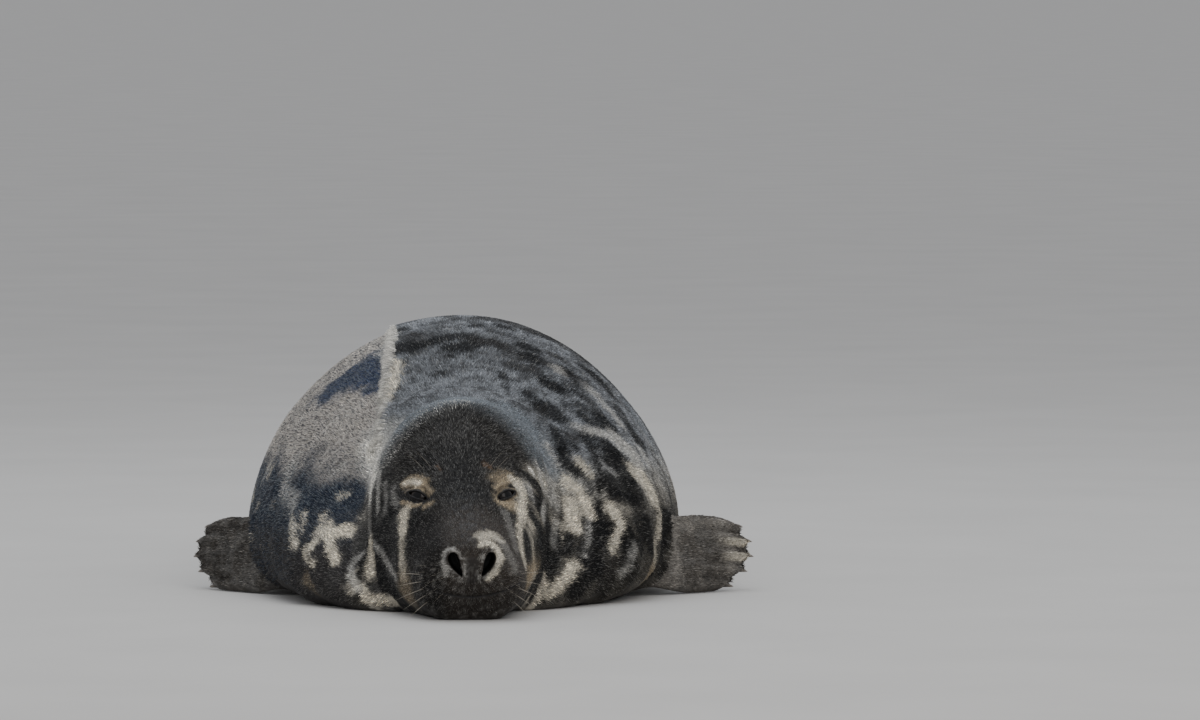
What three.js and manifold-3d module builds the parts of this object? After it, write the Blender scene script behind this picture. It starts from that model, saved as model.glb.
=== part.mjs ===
// A grey seal at life size, lying on its belly with its chin on the ground, as a still museum model.
// Millimetres, +Z up, the nose towards -Y and the seal's left side towards +X. The ground is z = 0.
import * as THREE from "three";
import { mergeVertices } from "three/addons/utils/BufferGeometryUtils.js";
import Module from "manifold-3d";

const wasm = await Module();
wasm.setup();

// ---------------------------------------------------------------- driving dimensions
const BODY_LENGTH = 1745; // nose to the root of the tail
const GAP = 0.35; // clearance between neighbouring solids
const AROUND = 30; // facets round the body
const BLEND = 45; // how softly the neck runs into the chest

// The neck turns the head a little to the seal's left, and the hindquarters swing to its right.
const HEAD_TURN = THREE.MathUtils.degToRad(5.5);
const HEAD_PIVOT = 130;
const TURN_FROM = 150;
const TURN_TO = 420;
const SWING_FROM = 900;
const SWING_AT_TAIL = -70;

// One row for each level of a form: its distance behind the nose, half width, top, low side, the
// height where it is widest, and the roundness of the section above and below that height.
const HEAD_LEVELS = [
  { at: 0, half: 1, top: 85, low: 83, wide: 84, crown: 2, keel: 2 }, // tip of the nose
  { at: 3, half: 34, top: 102, low: 61, wide: 82, crown: 2.3, keel: 2.2 }, // nose pad
  { at: 12, half: 55, top: 112, low: 35, wide: 68, crown: 2.3, keel: 2.1 }, // lips
  { at: 38, half: 75, top: 128, low: -4, wide: 56, crown: 2.2, keel: 2.3 }, // whisker pads
  { at: 80, half: 84, top: 150, low: -12, wide: 62, crown: 2.1, keel: 2.4 }, // muzzle
  { at: 125, half: 96, top: 181, low: -16, wide: 78, crown: 2.05, keel: 2.4 }, // eyes
  { at: 190, half: 118, top: 223, low: -20, wide: 92, crown: 2.1, keel: 2.4 }, // forehead
  { at: 250, half: 131, top: 259, low: -24, wide: 98, crown: 2.15, keel: 2.4 }, // ears
  { at: 330, half: 138, top: 296, low: -26, wide: 100, crown: 2.2, keel: 2.4 }, // nape
  { at: 430, half: 142, top: 297, low: -28, wide: 100, crown: 2.15, keel: 2.4 }, // neck crease
  { at: 560, half: 120, top: 280, low: -20, wide: 100, crown: 2, keel: 2.4 },
  { at: 640, half: 1, top: 150, low: 148, wide: 149, crown: 2, keel: 2.4 }, // lost inside the chest
];
const TRUNK_LEVELS = [
  { at: 180, half: 1, top: 22, low: 18, wide: 20, crown: 2, keel: 2.4 }, // breast, on the ground
  { at: 200, half: 118, top: 60, low: -20, wide: 25, crown: 2, keel: 2.4 },
  { at: 250, half: 182, top: 95, low: -28, wide: 35, crown: 2, keel: 2.4 },
  { at: 330, half: 244, top: 160, low: -30, wide: 48, crown: 2, keel: 2.4 }, // shoulders
  { at: 450, half: 290, top: 272, low: -30, wide: 60, crown: 2, keel: 2.4 },
  { at: 560, half: 310, top: 338, low: -28, wide: 68, crown: 1.92, keel: 2.3 }, // armpits
  { at: 680, half: 321, top: 378, low: -28, wide: 72, crown: 1.88, keel: 2.3 },
  { at: 800, half: 323, top: 395, low: -28, wide: 74, crown: 1.86, keel: 2.3 }, // greatest girth
  { at: 1000, half: 303, top: 376, low: -28, wide: 76, crown: 1.88, keel: 2.3 },
  { at: 1200, half: 250, top: 314, low: -26, wide: 76, crown: 1.92, keel: 2.3 }, // loin
  { at: 1400, half: 182, top: 228, low: -22, wide: 68, crown: 2, keel: 2.3 }, // hips
  { at: 1560, half: 124, top: 160, low: -14, wide: 58, crown: 2, keel: 2.2 },
  { at: 1680, half: 78, top: 110, low: -2, wide: 48, crown: 2, keel: 2.1 }, // ankles
  { at: BODY_LENGTH, half: 1, top: 50, low: 48, wide: 49, crown: 2, keel: 2 },
];

// Soft swellings and hollows, the same on both sides: place, reach and height.
const SWELLINGS = [
  { at: [40, 20, 57], reach: 27, height: 8 }, // whisker pad
  { at: [25, 4, 82], reach: 15, height: 4 }, // wing of the nostril
  { at: [0, 6, 62], reach: 9, height: -4 }, // groove under the nose
  { at: [34, 30, 14], reach: 24, height: 5 }, // chin
  { at: [66, 150, 196], reach: 24, height: 5 }, // brow
  { at: [66, 134, 166], reach: 22, height: -4 }, // eye socket
  { at: [0, 120, 182], reach: 30, height: -3 }, // bridge between the eyes
  { at: [92, 110, 60], reach: 42, height: 6 }, // cheek
  { at: [128, 228, 150], reach: 26, height: -3 }, // round the ear
  { at: [112, 215, 30], reach: 50, height: 8 }, // throat roll, pressed out by the ground
];

// Rolls of loose skin round the neck. They lean, so that each lies further forward at the throat.
const ROLL_LEAN = 0.46;
const ROLLS = [
  { at: 288, width: 20, height: -7 },
  { at: 322, width: 22, height: 4 },
  { at: 352, width: 16, height: -5 },
  { at: 404, width: 18, height: -3.5 },
];

// The long fold on the seal's right, where the skin of the neck is pushed over the flank.
const FOLD = { x: -104, lean: 0.12, top: 385, height: 10, spread: 60, from: 400, to: 760, fade: 130 };

const EYE = { x: 64.5, z: 168, radius: 20, width: 31, opening: 12, slant: 18, out: 26, up: 24, sunk: 1.5 };
const NOSTRIL = { x: 22, z: 79, half: 5.5, length: 36, depth: 15, tilt: 25 };
const MOUTH = { half: 72, z: 33, rise: 20, radius: 2.4 };
const EAR_HOLE = { s: 222, angle: 62, radius: 4 };

// ---------------------------------------------------------------- the form of the body
const clamp = THREE.MathUtils.clamp;
const smooth = THREE.MathUtils.smoothstep;

// A monotone cubic through the values of one field of a table of levels, by the root of the distance,
// which rounds the tip.
function fieldCurve(levels, field) {
  const t = levels.map((row) => Math.sqrt(row.at - levels[0].at));
  const v = levels.map((row) => row[field]);
  const step = t.slice(1).map((next, i) => next - t[i]);
  const slope = step.map((h, i) => (v[i + 1] - v[i]) / h);
  const tangent = v.map((_, i) => {
    if (i === 0) return slope[0];
    if (i === v.length - 1) return slope[i - 1];
    if (slope[i - 1] * slope[i] <= 0) return 0;
    const a = 2 * step[i] + step[i - 1];
    const b = step[i] + 2 * step[i - 1];
    return (a + b) / (a / slope[i - 1] + b / slope[i]);
  });
  return (y) => {
    const x = Math.sqrt(Math.max(y - levels[0].at, 0));
    let i = 0;
    while (i < t.length - 2 && x > t[i + 1]) i++;
    const u = clamp((x - t[i]) / step[i], 0, 1);
    const w = 1 - u;
    return (
      v[i] * (1 + 2 * u) * w * w +
      tangent[i] * step[i] * u * w * w +
      v[i + 1] * u * u * (3 - 2 * u) -
      tangent[i + 1] * step[i] * u * u * w
    );
  };
}

// A tube of egg-shaped sections, as a rough distance from its surface, negative inside.
function tube(levels) {
  const [half, top, low, wide, crown, keel] = ["half", "top", "low", "wide", "crown", "keel"].map((field) =>
    fieldCurve(levels, field),
  );
  const [first, last] = [levels[0].at, levels.at(-1).at];
  return (x, y, z) => {
    if (y < first || y > last) return 1000;
    const widest = wide(y);
    const above = z > widest;
    const height = Math.max(above ? top(y) - widest : widest - low(y), 0.5);
    const power = above ? crown(y) : keel(y);
    const across = Math.abs(x) / Math.max(half(y), 0.5);
    const up = Math.abs(z - widest) / height;
    const share = Math.pow(Math.pow(across, power) + Math.pow(up, power), 1 / power);
    return Math.hypot(x, z - widest) * (1 - 1 / Math.max(share, 1e-6));
  };
}

const headTube = tube(HEAD_LEVELS);
const trunkTube = tube(TRUNK_LEVELS);

function blended(a, b) {
  const h = clamp(0.5 + (0.5 * (b - a)) / BLEND, 0, 1);
  return b * (1 - h) + a * h - BLEND * h * (1 - h);
}

function swelling(x, y, z) {
  let raised = 0;
  for (const { at, reach, height } of SWELLINGS) {
    const far = (Math.abs(x) - at[0]) ** 2 + (y - at[1]) ** 2 + (z - at[2]) ** 2;
    raised += height * Math.exp(-far / reach ** 2);
  }
  return raised;
}

function neckRolls(x, y, z) {
  if (y < 180 || y > 720) return 0;
  const along = y - ROLL_LEAN * z;
  const beside = smooth(Math.abs(x), 0, 60) * 0.45 + 0.55;
  let raised = 0;
  for (const { at, width, height } of ROLLS) raised += height * Math.exp(-(((along - at) / width) ** 2));
  return raised * beside;
}

function flankFold(x, y, z) {
  const past = x - (FOLD.x - FOLD.lean * (FOLD.top - z));
  const along = smooth(y, FOLD.from, FOLD.from + 60) * (1 - smooth(y, FOLD.to, FOLD.to + FOLD.fade));
  const over = FOLD.height * Math.exp(-Math.max(past, 0) / FOLD.spread) * smooth(past, -4, 4);
  const under = -0.35 * FOLD.height * Math.exp(Math.min(past, 0) / 25) * (1 - smooth(past, -4, 4));
  return (over + under) * along;
}

// Rough distance from the skin of the straight body, negative inside.
function bodyField(x, y, z) {
  return blended(headTube(x, y, z), trunkTube(x, y, z)) - swelling(x, y, z) - neckRolls(x, y, z) - flankFold(x, y, z);
}

// The height of the line that the sections are drawn round, and how far each section leans.
const AXIS = [
  [0, 84],
  [3, 80],
  [12, 66],
  [38, 50],
  [125, 52],
  [190, 50],
  [330, 46],
  [600, 60],
  [1560, 55],
  [BODY_LENGTH, 49],
];
function axisHeight(y) {
  const i = Math.max(
    AXIS.findIndex(([at]) => at >= y),
    1,
  );
  return THREE.MathUtils.mapLinear(clamp(y, 0, BODY_LENGTH), AXIS[i - 1][0], AXIS[i][0], AXIS[i - 1][1], AXIS[i][1]);
}
const SECTION_LEAN = 0.3;
const sectionLean = (s) => SECTION_LEAN * smooth(s, 60, 280) * (1 - smooth(s, 480, 900));

// The bend of the neck and hindquarters, from the straight body to the posed one.
function posed(p) {
  const turn = HEAD_TURN * (1 - smooth(p.y, TURN_FROM, TURN_TO));
  const y = p.y - HEAD_PIVOT;
  const tail = Math.max(p.y - SWING_FROM, 0) / (BODY_LENGTH - SWING_FROM);
  return new THREE.Vector3(
    p.x * Math.cos(turn) - y * Math.sin(turn) + SWING_AT_TAIL * tail * tail,
    HEAD_PIVOT + p.x * Math.sin(turn) + y * Math.cos(turn),
    Math.max(p.z, 0),
  );
}

// The point of the straight body's surface on the section at s, at an angle from straight up.
function surfacePoint(s, angle, grow = 0) {
  const [sin, cos] = [Math.sin(angle), Math.cos(angle)];
  const height = axisHeight(s);
  const lean = sectionLean(s);
  const at = (r) => {
    const z = height + r * cos;
    return new THREE.Vector3(r * sin, s + lean * (z - 100), z);
  };
  let [inside, outside] = [0, 520];
  for (let i = 0; i < 30; i++) {
    const r = (inside + outside) / 2;
    const p = at(r);
    if (bodyField(p.x, p.y, p.z) < 0) inside = r;
    else outside = r;
  }
  return at(inside + grow);
}

// The first point of the surface met going straight back from in front of the head.
function facePoint(x, z) {
  let [outside, inside] = [-10, 400];
  for (let y = outside; y < 400; y += 2) {
    if (bodyField(x, y, z) < 0) {
      inside = y;
      outside = y - 2;
      break;
    }
  }
  for (let i = 0; i < 20; i++) {
    const y = (inside + outside) / 2;
    if (bodyField(x, y, z) < 0) inside = y;
    else outside = y;
  }
  return new THREE.Vector3(x, inside, z);
}

// ---------------------------------------------------------------- meshes and solids
// A closed mesh from rings of points of equal number, with a fan over each end.
function ringMesh(rings) {
  const count = rings[0].length;
  const points = rings.flat();
  const middle = (ring) => ring.reduce((sum, p) => sum.add(p), new THREE.Vector3()).divideScalar(count);
  points.push(middle(rings[0]), middle(rings.at(-1)));
  const index = [];
  for (let i = 0; i < rings.length - 1; i++) {
    for (let j = 0; j < count; j++) {
      const [a, b] = [i * count + j, i * count + ((j + 1) % count)];
      index.push(a, b, b + count, a, b + count, a + count);
    }
  }
  const lastRing = (rings.length - 1) * count;
  for (let j = 0; j < count; j++) {
    const next = (j + 1) % count;
    index.push(points.length - 2, next, j);
    index.push(points.length - 1, lastRing + j, lastRing + next);
  }
  return new THREE.BufferGeometry().setFromPoints(points).setIndex(index);
}

function solid(geometry) {
  const bare = geometry.clone();
  bare.deleteAttribute("normal");
  bare.deleteAttribute("uv");
  const merged = mergeVertices(bare, 1e-3);
  const made = new wasm.Manifold(
    new wasm.Mesh({
      numProp: 3,
      vertProperties: new Float32Array(merged.attributes.position.array),
      triVerts: new Uint32Array(merged.index.array),
    }),
  );
  return made;
}

// Rings may run either way round; the solid with a positive volume faces outwards.
function ringSolid(rings) {
  const made = solid(ringMesh(rings));
  return made.volume() > 0 ? made : solid(ringMesh(rings.map((ring) => [...ring].reverse())));
}

// What is left of a solid once another is cut away, without stray slivers.
function cutBy(made, cutter) {
  const pieces = made.subtract(cutter).decompose();
  return pieces.sort((a, b) => b.volume() - a.volume())[0];
}

function geometryOf(made) {
  const { vertProperties, triVerts, numProp } = made.getMesh();
  const position = new Float32Array((vertProperties.length / numProp) * 3);
  for (let i = 0; i < position.length / 3; i++) {
    position.set(vertProperties.subarray(i * numProp, i * numProp + 3), i * 3);
  }
  const indexed = new THREE.BufferGeometry();
  indexed.setAttribute("position", new THREE.BufferAttribute(position, 3));
  indexed.setIndex(new THREE.BufferAttribute(triVerts, 1));
  const flat = indexed.toNonIndexed();
  flat.computeVertexNormals();
  return flat;
}

// A length of the body between two sections.
function bodyLength({ from, to, steps }, grow = 0) {
  const rings = [];
  for (let i = 0; i <= steps; i++) {
    const root = THREE.MathUtils.lerp(Math.sqrt(from + GAP / 2), Math.sqrt(to - GAP / 2), i / steps);
    const ring = [];
    for (let j = 0; j < AROUND; j++) {
      ring.push(posed(surfacePoint(root * root, (2 * Math.PI * j) / AROUND, grow)));
    }
    rings.push(ring);
  }
  return ringSolid(rings);
}

// ---------------------------------------------------------------- features cut into the head
const side = (name) => (name === "left" ? 1 : -1);

function eyePlace(name) {
  const s = side(name);
  const lid = facePoint(s * EYE.x, EYE.z);
  const [out, up] = [THREE.MathUtils.degToRad(EYE.out), THREE.MathUtils.degToRad(EYE.up)];
  const gaze = new THREE.Vector3(s * Math.sin(out) * Math.cos(up), -Math.cos(out) * Math.cos(up), Math.sin(up));
  const centre = lid.clone().addScaledVector(gaze, -EYE.radius - EYE.sunk);
  return { centre, gaze };
}

function eyeball(name, grow = 0) {
  const { centre } = eyePlace(name);
  const ball = new THREE.SphereGeometry(EYE.radius + grow, 12, 8);
  ball.applyMatrix4(new THREE.Matrix4().setPosition(posed(centre)));
  return solid(ball);
}

// The slit between the lids: an almond, run outwards along the gaze.
function lidSlit(name) {
  const { centre, gaze } = eyePlace(name);
  const [w, h] = [EYE.width / 2, EYE.opening / 2];
  const almond = new THREE.Shape();
  almond.moveTo(-w, 0);
  almond.quadraticCurveTo(0, 2 * h, w, 0);
  almond.quadraticCurveTo(0, -2 * h, -w, 0);
  const prism = new THREE.ExtrudeGeometry(almond, { depth: 60, bevelEnabled: false, curveSegments: 6 });
  prism.rotateZ(THREE.MathUtils.degToRad(side(name) * EYE.slant));
  const facing = new THREE.Matrix4().lookAt(gaze, new THREE.Vector3(), new THREE.Vector3(0, 0, 1));
  prism.applyMatrix4(facing.setPosition(posed(centre)));
  return solid(prism);
}

function nostril(name) {
  const s = side(name);
  const at = posed(facePoint(s * NOSTRIL.x, NOSTRIL.z));
  const pit = new THREE.SphereGeometry(1, 10, 6);
  pit.scale(NOSTRIL.half, NOSTRIL.depth, NOSTRIL.length / 2);
  pit.rotateY(THREE.MathUtils.degToRad(s * NOSTRIL.tilt));
  pit.translate(at.x, at.y, at.z);
  return solid(pit);
}

function mouthLine() {
  const points = [];
  for (let i = -8; i <= 8; i++) {
    const share = i / 8;
    const p = facePoint(MOUTH.half * Math.sin((share * Math.PI) / 2), MOUTH.z + MOUTH.rise * share * share);
    points.push(posed(p));
  }
  const section = new THREE.Shape();
  section.absarc(0, 0, MOUTH.radius, 0, 2 * Math.PI);
  const groove = new THREE.ExtrudeGeometry(section, {
    extrudePath: new THREE.CatmullRomCurve3(points),
    steps: 16,
    curveSegments: 3,
    bevelEnabled: false,
  });
  return solid(groove);
}

function earHole(name) {
  const at = posed(surfacePoint(EAR_HOLE.s, THREE.MathUtils.degToRad(side(name) * EAR_HOLE.angle)));
  const hole = new THREE.SphereGeometry(EAR_HOLE.radius, 8, 6);
  hole.translate(at.x, at.y, at.z);
  return solid(hole);
}

function head() {
  let made = bodyLength(LENGTHS.head);
  for (const name of ["left", "right"]) {
    const cuts = [eyeball(name, GAP), lidSlit(name), nostril(name), earHole(name)];
    made = cuts.reduce((left, cut) => left.subtract(cut), made);
  }
  return made.subtract(mouthLine());
}

// ---------------------------------------------------------------- flippers, tail and claws
// A flipper is drawn in its own frame: along it, across it from the edge on the ground to the upper
// edge, and through it. Its end is scalloped by five digits.
const FORE = { length: 262, root: 96, palm: 122, thick: 46, tip: 17, reach: 0.16, scallop: 13, lead: 0.25 };
const HIND = { length: 300, root: 74, palm: 168, thick: 44, tip: 13, reach: -0.14, scallop: 15, lead: 0 };
const DIGITS = 5;
const ground = solid(new THREE.BoxGeometry(3 * BODY_LENGTH, 3 * BODY_LENGTH, 200).translate(0, 0, -100));
const digitShare = (k) => ((k + 0.5) / DIGITS) * 2 - 1;

function flipperEnd(form, share) {
  const lobe = Math.abs(Math.cos((Math.PI * DIGITS * (share + 1)) / 2 + Math.PI / 2)) ** 0.6;
  return form.length * (1 - form.reach * (share - form.lead) ** 2) - form.scallop * (1 - lobe);
}

function flipperPoint(form, t, angle) {
  const [across, through] = [Math.cos(angle), Math.sin(angle)];
  const share = Math.sign(across) * Math.abs(across) ** 0.85;
  const breadth = THREE.MathUtils.lerp(form.root, form.palm, smooth(t, 0, 0.75));
  const rounded = Math.sqrt(Math.max(1 - Math.max(t - 0.82, 0) ** 2 / 0.18 ** 2, 0));
  const ridge = 1 + 0.22 * smooth(t, 0.3, 0.8) * Math.cos(Math.PI * DIGITS * (share + 1) + Math.PI);
  const thick = THREE.MathUtils.lerp(form.thick, form.tip, smooth(t, 0, 0.8)) * Math.max(rounded, 0.12) * ridge;
  const narrowed = 1 - 0.1 * (1 - rounded);
  return new THREE.Vector3(
    t * flipperEnd(form, share),
    (breadth / 2) * share * narrowed,
    (thick / 2) * Math.sign(through) * Math.abs(through) ** 0.8,
  );
}

// Turns a flipper's own frame to its place: the way it points, and the way its upper edge leans.
function flipperFrame({ root, along, upper }) {
  const x = new THREE.Vector3(...along).normalize();
  const z = x.clone().cross(new THREE.Vector3(...upper)).normalize();
  const y = z.clone().cross(x);
  return new THREE.Matrix4().makeBasis(x, y, z).setPosition(...root);
}

// Each limb droops a little along its length and rests its lower edge on the ground.
const LIMBS = {
  fore_flipper_left: { form: FORE, root: [206, 452, 64], along: [0.85, 0.5, -0.03], upper: [0.05, 0.42, 0.9], curl: -20 },
  fore_flipper_right: { form: FORE, root: [-204, 462, 60], along: [-0.76, 0.64, -0.03], upper: [0, 0.42, 0.9], curl: 16 },
  hind_flipper_left: { form: HIND, root: [-14, 1640, 43], along: [0.16, 0.98, -0.04], upper: [-0.9, 0, 0.42], curl: 10 },
  hind_flipper_right: { form: HIND, root: [-84, 1635, 43], along: [-0.36, 0.94, -0.04], upper: [0.9, 0, 0.42], curl: -10 },
};

function limbPoint(limb, t, angle) {
  const p = flipperPoint(limb.form, t, angle);
  p.z += limb.curl * t * t;
  return p.applyMatrix4(flipperFrame(limb));
}

function limbSolid(limb, steps, around) {
  const rings = [];
  for (let i = 0; i <= steps; i++) {
    const ring = [];
    for (let j = 0; j < around; j++) ring.push(limbPoint(limb, i / steps, (2 * Math.PI * j) / around));
    rings.push(ring);
  }
  return cutBy(ringSolid(rings), ground);
}

const CLAW = { fore: { length: 27, radius: 3.8, set: 17 }, hind: { length: 15, radius: 2.6, set: 9 } };

// A claw is a short curved horn that grows from the end of its digit.
function claw(limb, kind, digit) {
  const { length, radius, set } = CLAW[kind];
  const { form } = limb;
  const share = digitShare(digit);
  const start = flipperEnd(form, share) - set;
  const frame = flipperFrame(limb);
  const rings = [];
  const steps = 5;
  for (let i = 0; i <= steps; i++) {
    const t = i / steps;
    const r = radius * Math.max(1 - t ** 1.6, 0.12);
    const ring = [];
    for (let j = 0; j < 6; j++) {
      const a = (2 * Math.PI * j) / 6;
      const curve = Math.sign(limb.curl) * length * 0.32 * t * t;
      const p = new THREE.Vector3(
        start + length * t,
        (form.palm / 2) * share * 0.93 + r * Math.cos(a),
        limb.curl + curve + r * Math.sin(a) - Math.sign(limb.curl) * 1.5,
      );
      ring.push(p.applyMatrix4(frame));
    }
    rings.push(ring);
  }
  return ringSolid(rings);
}

const TAIL = { from: 1700, length: 118, half: 26, thick: 15, height: 42, x: -66 };

function tail(grow = 0) {
  const rings = [];
  const steps = 6;
  for (let i = 0; i <= steps; i++) {
    const t = i / steps;
    const narrow = Math.sqrt(Math.max(1 - t ** 2.4, 0.004));
    const ring = [];
    for (let j = 0; j < 12; j++) {
      const a = (-2 * Math.PI * j) / 12;
      ring.push(
        new THREE.Vector3(
          TAIL.x - 8 * t + (TAIL.half * narrow + grow) * Math.sin(a),
          TAIL.from + TAIL.length * t,
          TAIL.height - 14 * t + (TAIL.thick * narrow + grow) * Math.cos(a),
        ),
      );
    }
    rings.push(ring);
  }
  return ringSolid(rings);
}

// ---------------------------------------------------------------- assembly
// Where thin cuts part the body, along the line of the sections.
const LENGTHS = {
  head: { from: 0, to: 262, steps: 24 },
  neck: { from: 262, to: 430, steps: 7 },
  chest: { from: 430, to: 880, steps: 11 },
  trunk: { from: 880, to: 1330, steps: 7 },
  rump: { from: 1330, to: BODY_LENGTH, steps: 8 },
};

const FUR = { grey: 0x5d5f61, pale: 0x8b8a84, dark: 0x3a3a3a };
const material = (color, roughness) => new THREE.MeshStandardMaterial({ color, roughness, metalness: 0 });
const coat = material(FUR.grey, 0.75);
const faceCoat = material(FUR.dark, 0.7);
const paleCoat = material(FUR.pale, 0.75);
const eyeGloss = material(0x0d0a09, 0.08);
const horn = material(0x2a2522, 0.35);

const group = new THREE.Group();
function add(name, made, finish) {
  const mesh = new THREE.Mesh(geometryOf(made), finish);
  mesh.name = name;
  group.add(mesh);
}

add("head", head(), faceCoat);
for (const name of ["neck", "chest", "trunk", "rump"]) {
  add(name, bodyLength(LENGTHS[name]), name === "neck" || name === "rump" ? coat : paleCoat);
}
for (const name of ["left", "right"]) add("eye_" + name, eyeball(name), eyeGloss);

const bodyCleared = Object.values(LENGTHS)
  .map((length) => bodyLength(length, GAP))
  .reduce((whole, next) => whole.add(next));
add("tail", cutBy(tail(), bodyCleared), coat);

for (const [name, limb] of Object.entries(LIMBS)) {
  const kind = name.split("_")[0];
  const flipper = limbSolid(limb, 9, 26);
  add(name, cutBy(flipper, kind === "hind" ? bodyCleared.add(tail(GAP)) : bodyCleared), coat);
  const outwards = new THREE.Vector3(...limb.along).setLength(3 * GAP).toArray();
  const around = flipper.add(flipper.translate(0, 0, GAP / 3)).add(ground);
  for (let digit = 0; digit < DIGITS; digit++) {
    const made = cutBy(cutBy(claw(limb, kind, digit), flipper).translate(outwards), around);
    add("claw_" + name.replace("_flipper", "") + "_" + (digit + 1), made, horn);
  }
}

// The origin is on the ground, under the middle of the whole animal.
const middle = new THREE.Box3().setFromObject(group).getCenter(new THREE.Vector3());
group.position.set(-middle.x, -middle.y, 0);

export default group;
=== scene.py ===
"""A grey seal at life size, resting on its belly, as a still museum model.

The skin is one closed mesh, drawn from the same levels as the solids and set inside them by the depth
of the coat. The coat is short tufts laid over it, and eyes, claws and whiskers are pieces of their own.
The body is worked out in millimetres from the tip of the nose, with the neck straight, and then posed.
"""

import bmesh
import bpy
import numpy as np
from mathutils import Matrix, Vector
from mathutils.kdtree import KDTree


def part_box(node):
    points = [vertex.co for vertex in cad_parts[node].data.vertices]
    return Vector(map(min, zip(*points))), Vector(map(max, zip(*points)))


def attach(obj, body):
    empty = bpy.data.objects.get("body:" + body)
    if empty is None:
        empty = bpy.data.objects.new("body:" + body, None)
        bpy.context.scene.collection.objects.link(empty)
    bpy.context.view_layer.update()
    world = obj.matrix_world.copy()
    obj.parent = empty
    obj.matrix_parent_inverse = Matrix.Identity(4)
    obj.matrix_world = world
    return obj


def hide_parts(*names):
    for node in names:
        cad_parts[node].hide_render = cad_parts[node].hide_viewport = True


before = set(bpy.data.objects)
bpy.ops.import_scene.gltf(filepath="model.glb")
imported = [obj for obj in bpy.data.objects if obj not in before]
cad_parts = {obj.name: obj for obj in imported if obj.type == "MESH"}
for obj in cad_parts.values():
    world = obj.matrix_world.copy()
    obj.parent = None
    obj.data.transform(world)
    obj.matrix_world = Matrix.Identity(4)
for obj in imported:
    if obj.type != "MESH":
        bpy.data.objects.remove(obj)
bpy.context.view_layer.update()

MM = 0.001

# ---------------------------------------------------------------- driving dimensions, millimetres
BODY_LENGTH = 1745.0
BLEND = 45.0
HEAD_TURN = np.radians(5.5)
HEAD_PIVOT = 130.0
TURN_FROM, TURN_TO = 150.0, 420.0
SWING_FROM, SWING_AT_TAIL = 900.0, -70.0

# Each level: distance behind the nose, half width, top, low side, height where it is widest, and the
# roundness of the section above and below that height.
HEAD_LEVELS = (
    (0, 1, 85, 83, 84, 2.0, 2.0),  # tip of the nose
    (3, 34, 102, 61, 82, 2.3, 2.2),  # nose pad
    (12, 55, 112, 35, 68, 2.3, 2.1),  # lips
    (38, 75, 128, -4, 56, 2.2, 2.3),  # whisker pads
    (80, 84, 150, -12, 62, 2.1, 2.4),  # muzzle
    (125, 96, 181, -16, 78, 2.05, 2.4),  # eyes
    (190, 118, 223, -20, 92, 2.1, 2.4),  # forehead
    (250, 131, 259, -24, 98, 2.15, 2.4),  # ears
    (330, 138, 296, -26, 100, 2.2, 2.4),  # nape
    (430, 142, 297, -28, 100, 2.15, 2.4),  # neck crease
    (560, 120, 280, -20, 100, 2.0, 2.4),
    (640, 1, 150, 148, 149, 2.0, 2.4),  # lost inside the chest
)
TRUNK_LEVELS = (
    (180, 1, 22, 18, 20, 2.0, 2.4),  # breast, on the ground
    (200, 118, 60, -20, 25, 2.0, 2.4),
    (250, 182, 95, -28, 35, 2.0, 2.4),
    (330, 244, 160, -30, 48, 2.0, 2.4),  # shoulders
    (450, 290, 272, -30, 60, 2.0, 2.4),
    (560, 310, 338, -28, 68, 1.92, 2.3),  # armpits
    (680, 321, 378, -28, 72, 1.88, 2.3),
    (800, 323, 395, -28, 74, 1.86, 2.3),  # greatest girth
    (1000, 303, 376, -28, 76, 1.88, 2.3),
    (1200, 250, 314, -26, 76, 1.92, 2.3),  # loin
    (1400, 182, 228, -22, 68, 2.0, 2.3),  # hips
    (1560, 124, 160, -14, 58, 2.0, 2.2),
    (1680, 78, 110, -2, 48, 2.0, 2.1),  # ankles
    (BODY_LENGTH, 1, 50, 48, 49, 2.0, 2.0),
)

# Soft swellings and hollows, the same on both sides: place, reach and height.
SWELLINGS = (
    ((40, 20, 57), 27, 8),  # whisker pad
    ((25, 4, 82), 15, 4),  # wing of the nostril
    ((0, 6, 62), 9, -4),  # groove under the nose
    ((34, 30, 14), 24, 5),  # chin
    ((66, 150, 196), 24, 5),  # brow
    ((66, 134, 166), 22, -4),  # eye socket
    ((0, 120, 182), 30, -3),  # bridge between the eyes
    ((92, 110, 60), 42, 6),  # cheek
    ((128, 228, 150), 26, -3),  # round the ear
    ((112, 215, 30), 50, 8),  # throat roll
)
# Rolls and creases round the neck: place, width and height.
ROLL_LEAN = 0.46
ROLLS = ((288, 20, -7), (322, 22, 4), (352, 16, -5), (404, 18, -3.5))
FOLD = dict(x=-104, lean=0.12, top=385, height=10, spread=60, start=400, end=760, fade=130)
# Height of the line that the skin's rings stand round, at places along the body.
AXIS_PLACES = (0, 3, 12, 38, 125, 190, 330, 600, 1560, BODY_LENGTH)
AXIS_HEIGHTS = (84, 80, 66, 50, 52, 50, 46, 60, 55, 49)
SECTION_LEAN = 0.3

# Everything within this distance in front of or behind a lid belongs to that eye.
EYE_REACH = 30.0
EYE = dict(x=64.5, z=168.0, radius=20.0, out=26.0, up=24.0, sunk=1.5)
LIDS = dict(half=15.5, upper=4.9, lower=3.9, slant=18.0, thick=2.0, corner=-4.2)
NOSTRIL = dict(x=22.5, z=79.0, half=7.4, length=36.0, depth=20.0, tilt=25.0)
MOUTH = dict(half=72.0, z=33.0, rise=20.0)

# Lowest the skin and the flippers reach above the floor, and how high the belly is worn bare.
SKIN_LOWEST, LIMB_LOWEST = 0.4, 0.5
BARE_BELOW = 9.0


# ---------------------------------------------------------------- small tools
def smooth(x, low, high):
    """A soft step: 0 up to low, and 1 from high on."""
    t = np.clip((x - low) / (high - low), 0, 1)
    return t * t * (3 - 2 * t)


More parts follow.
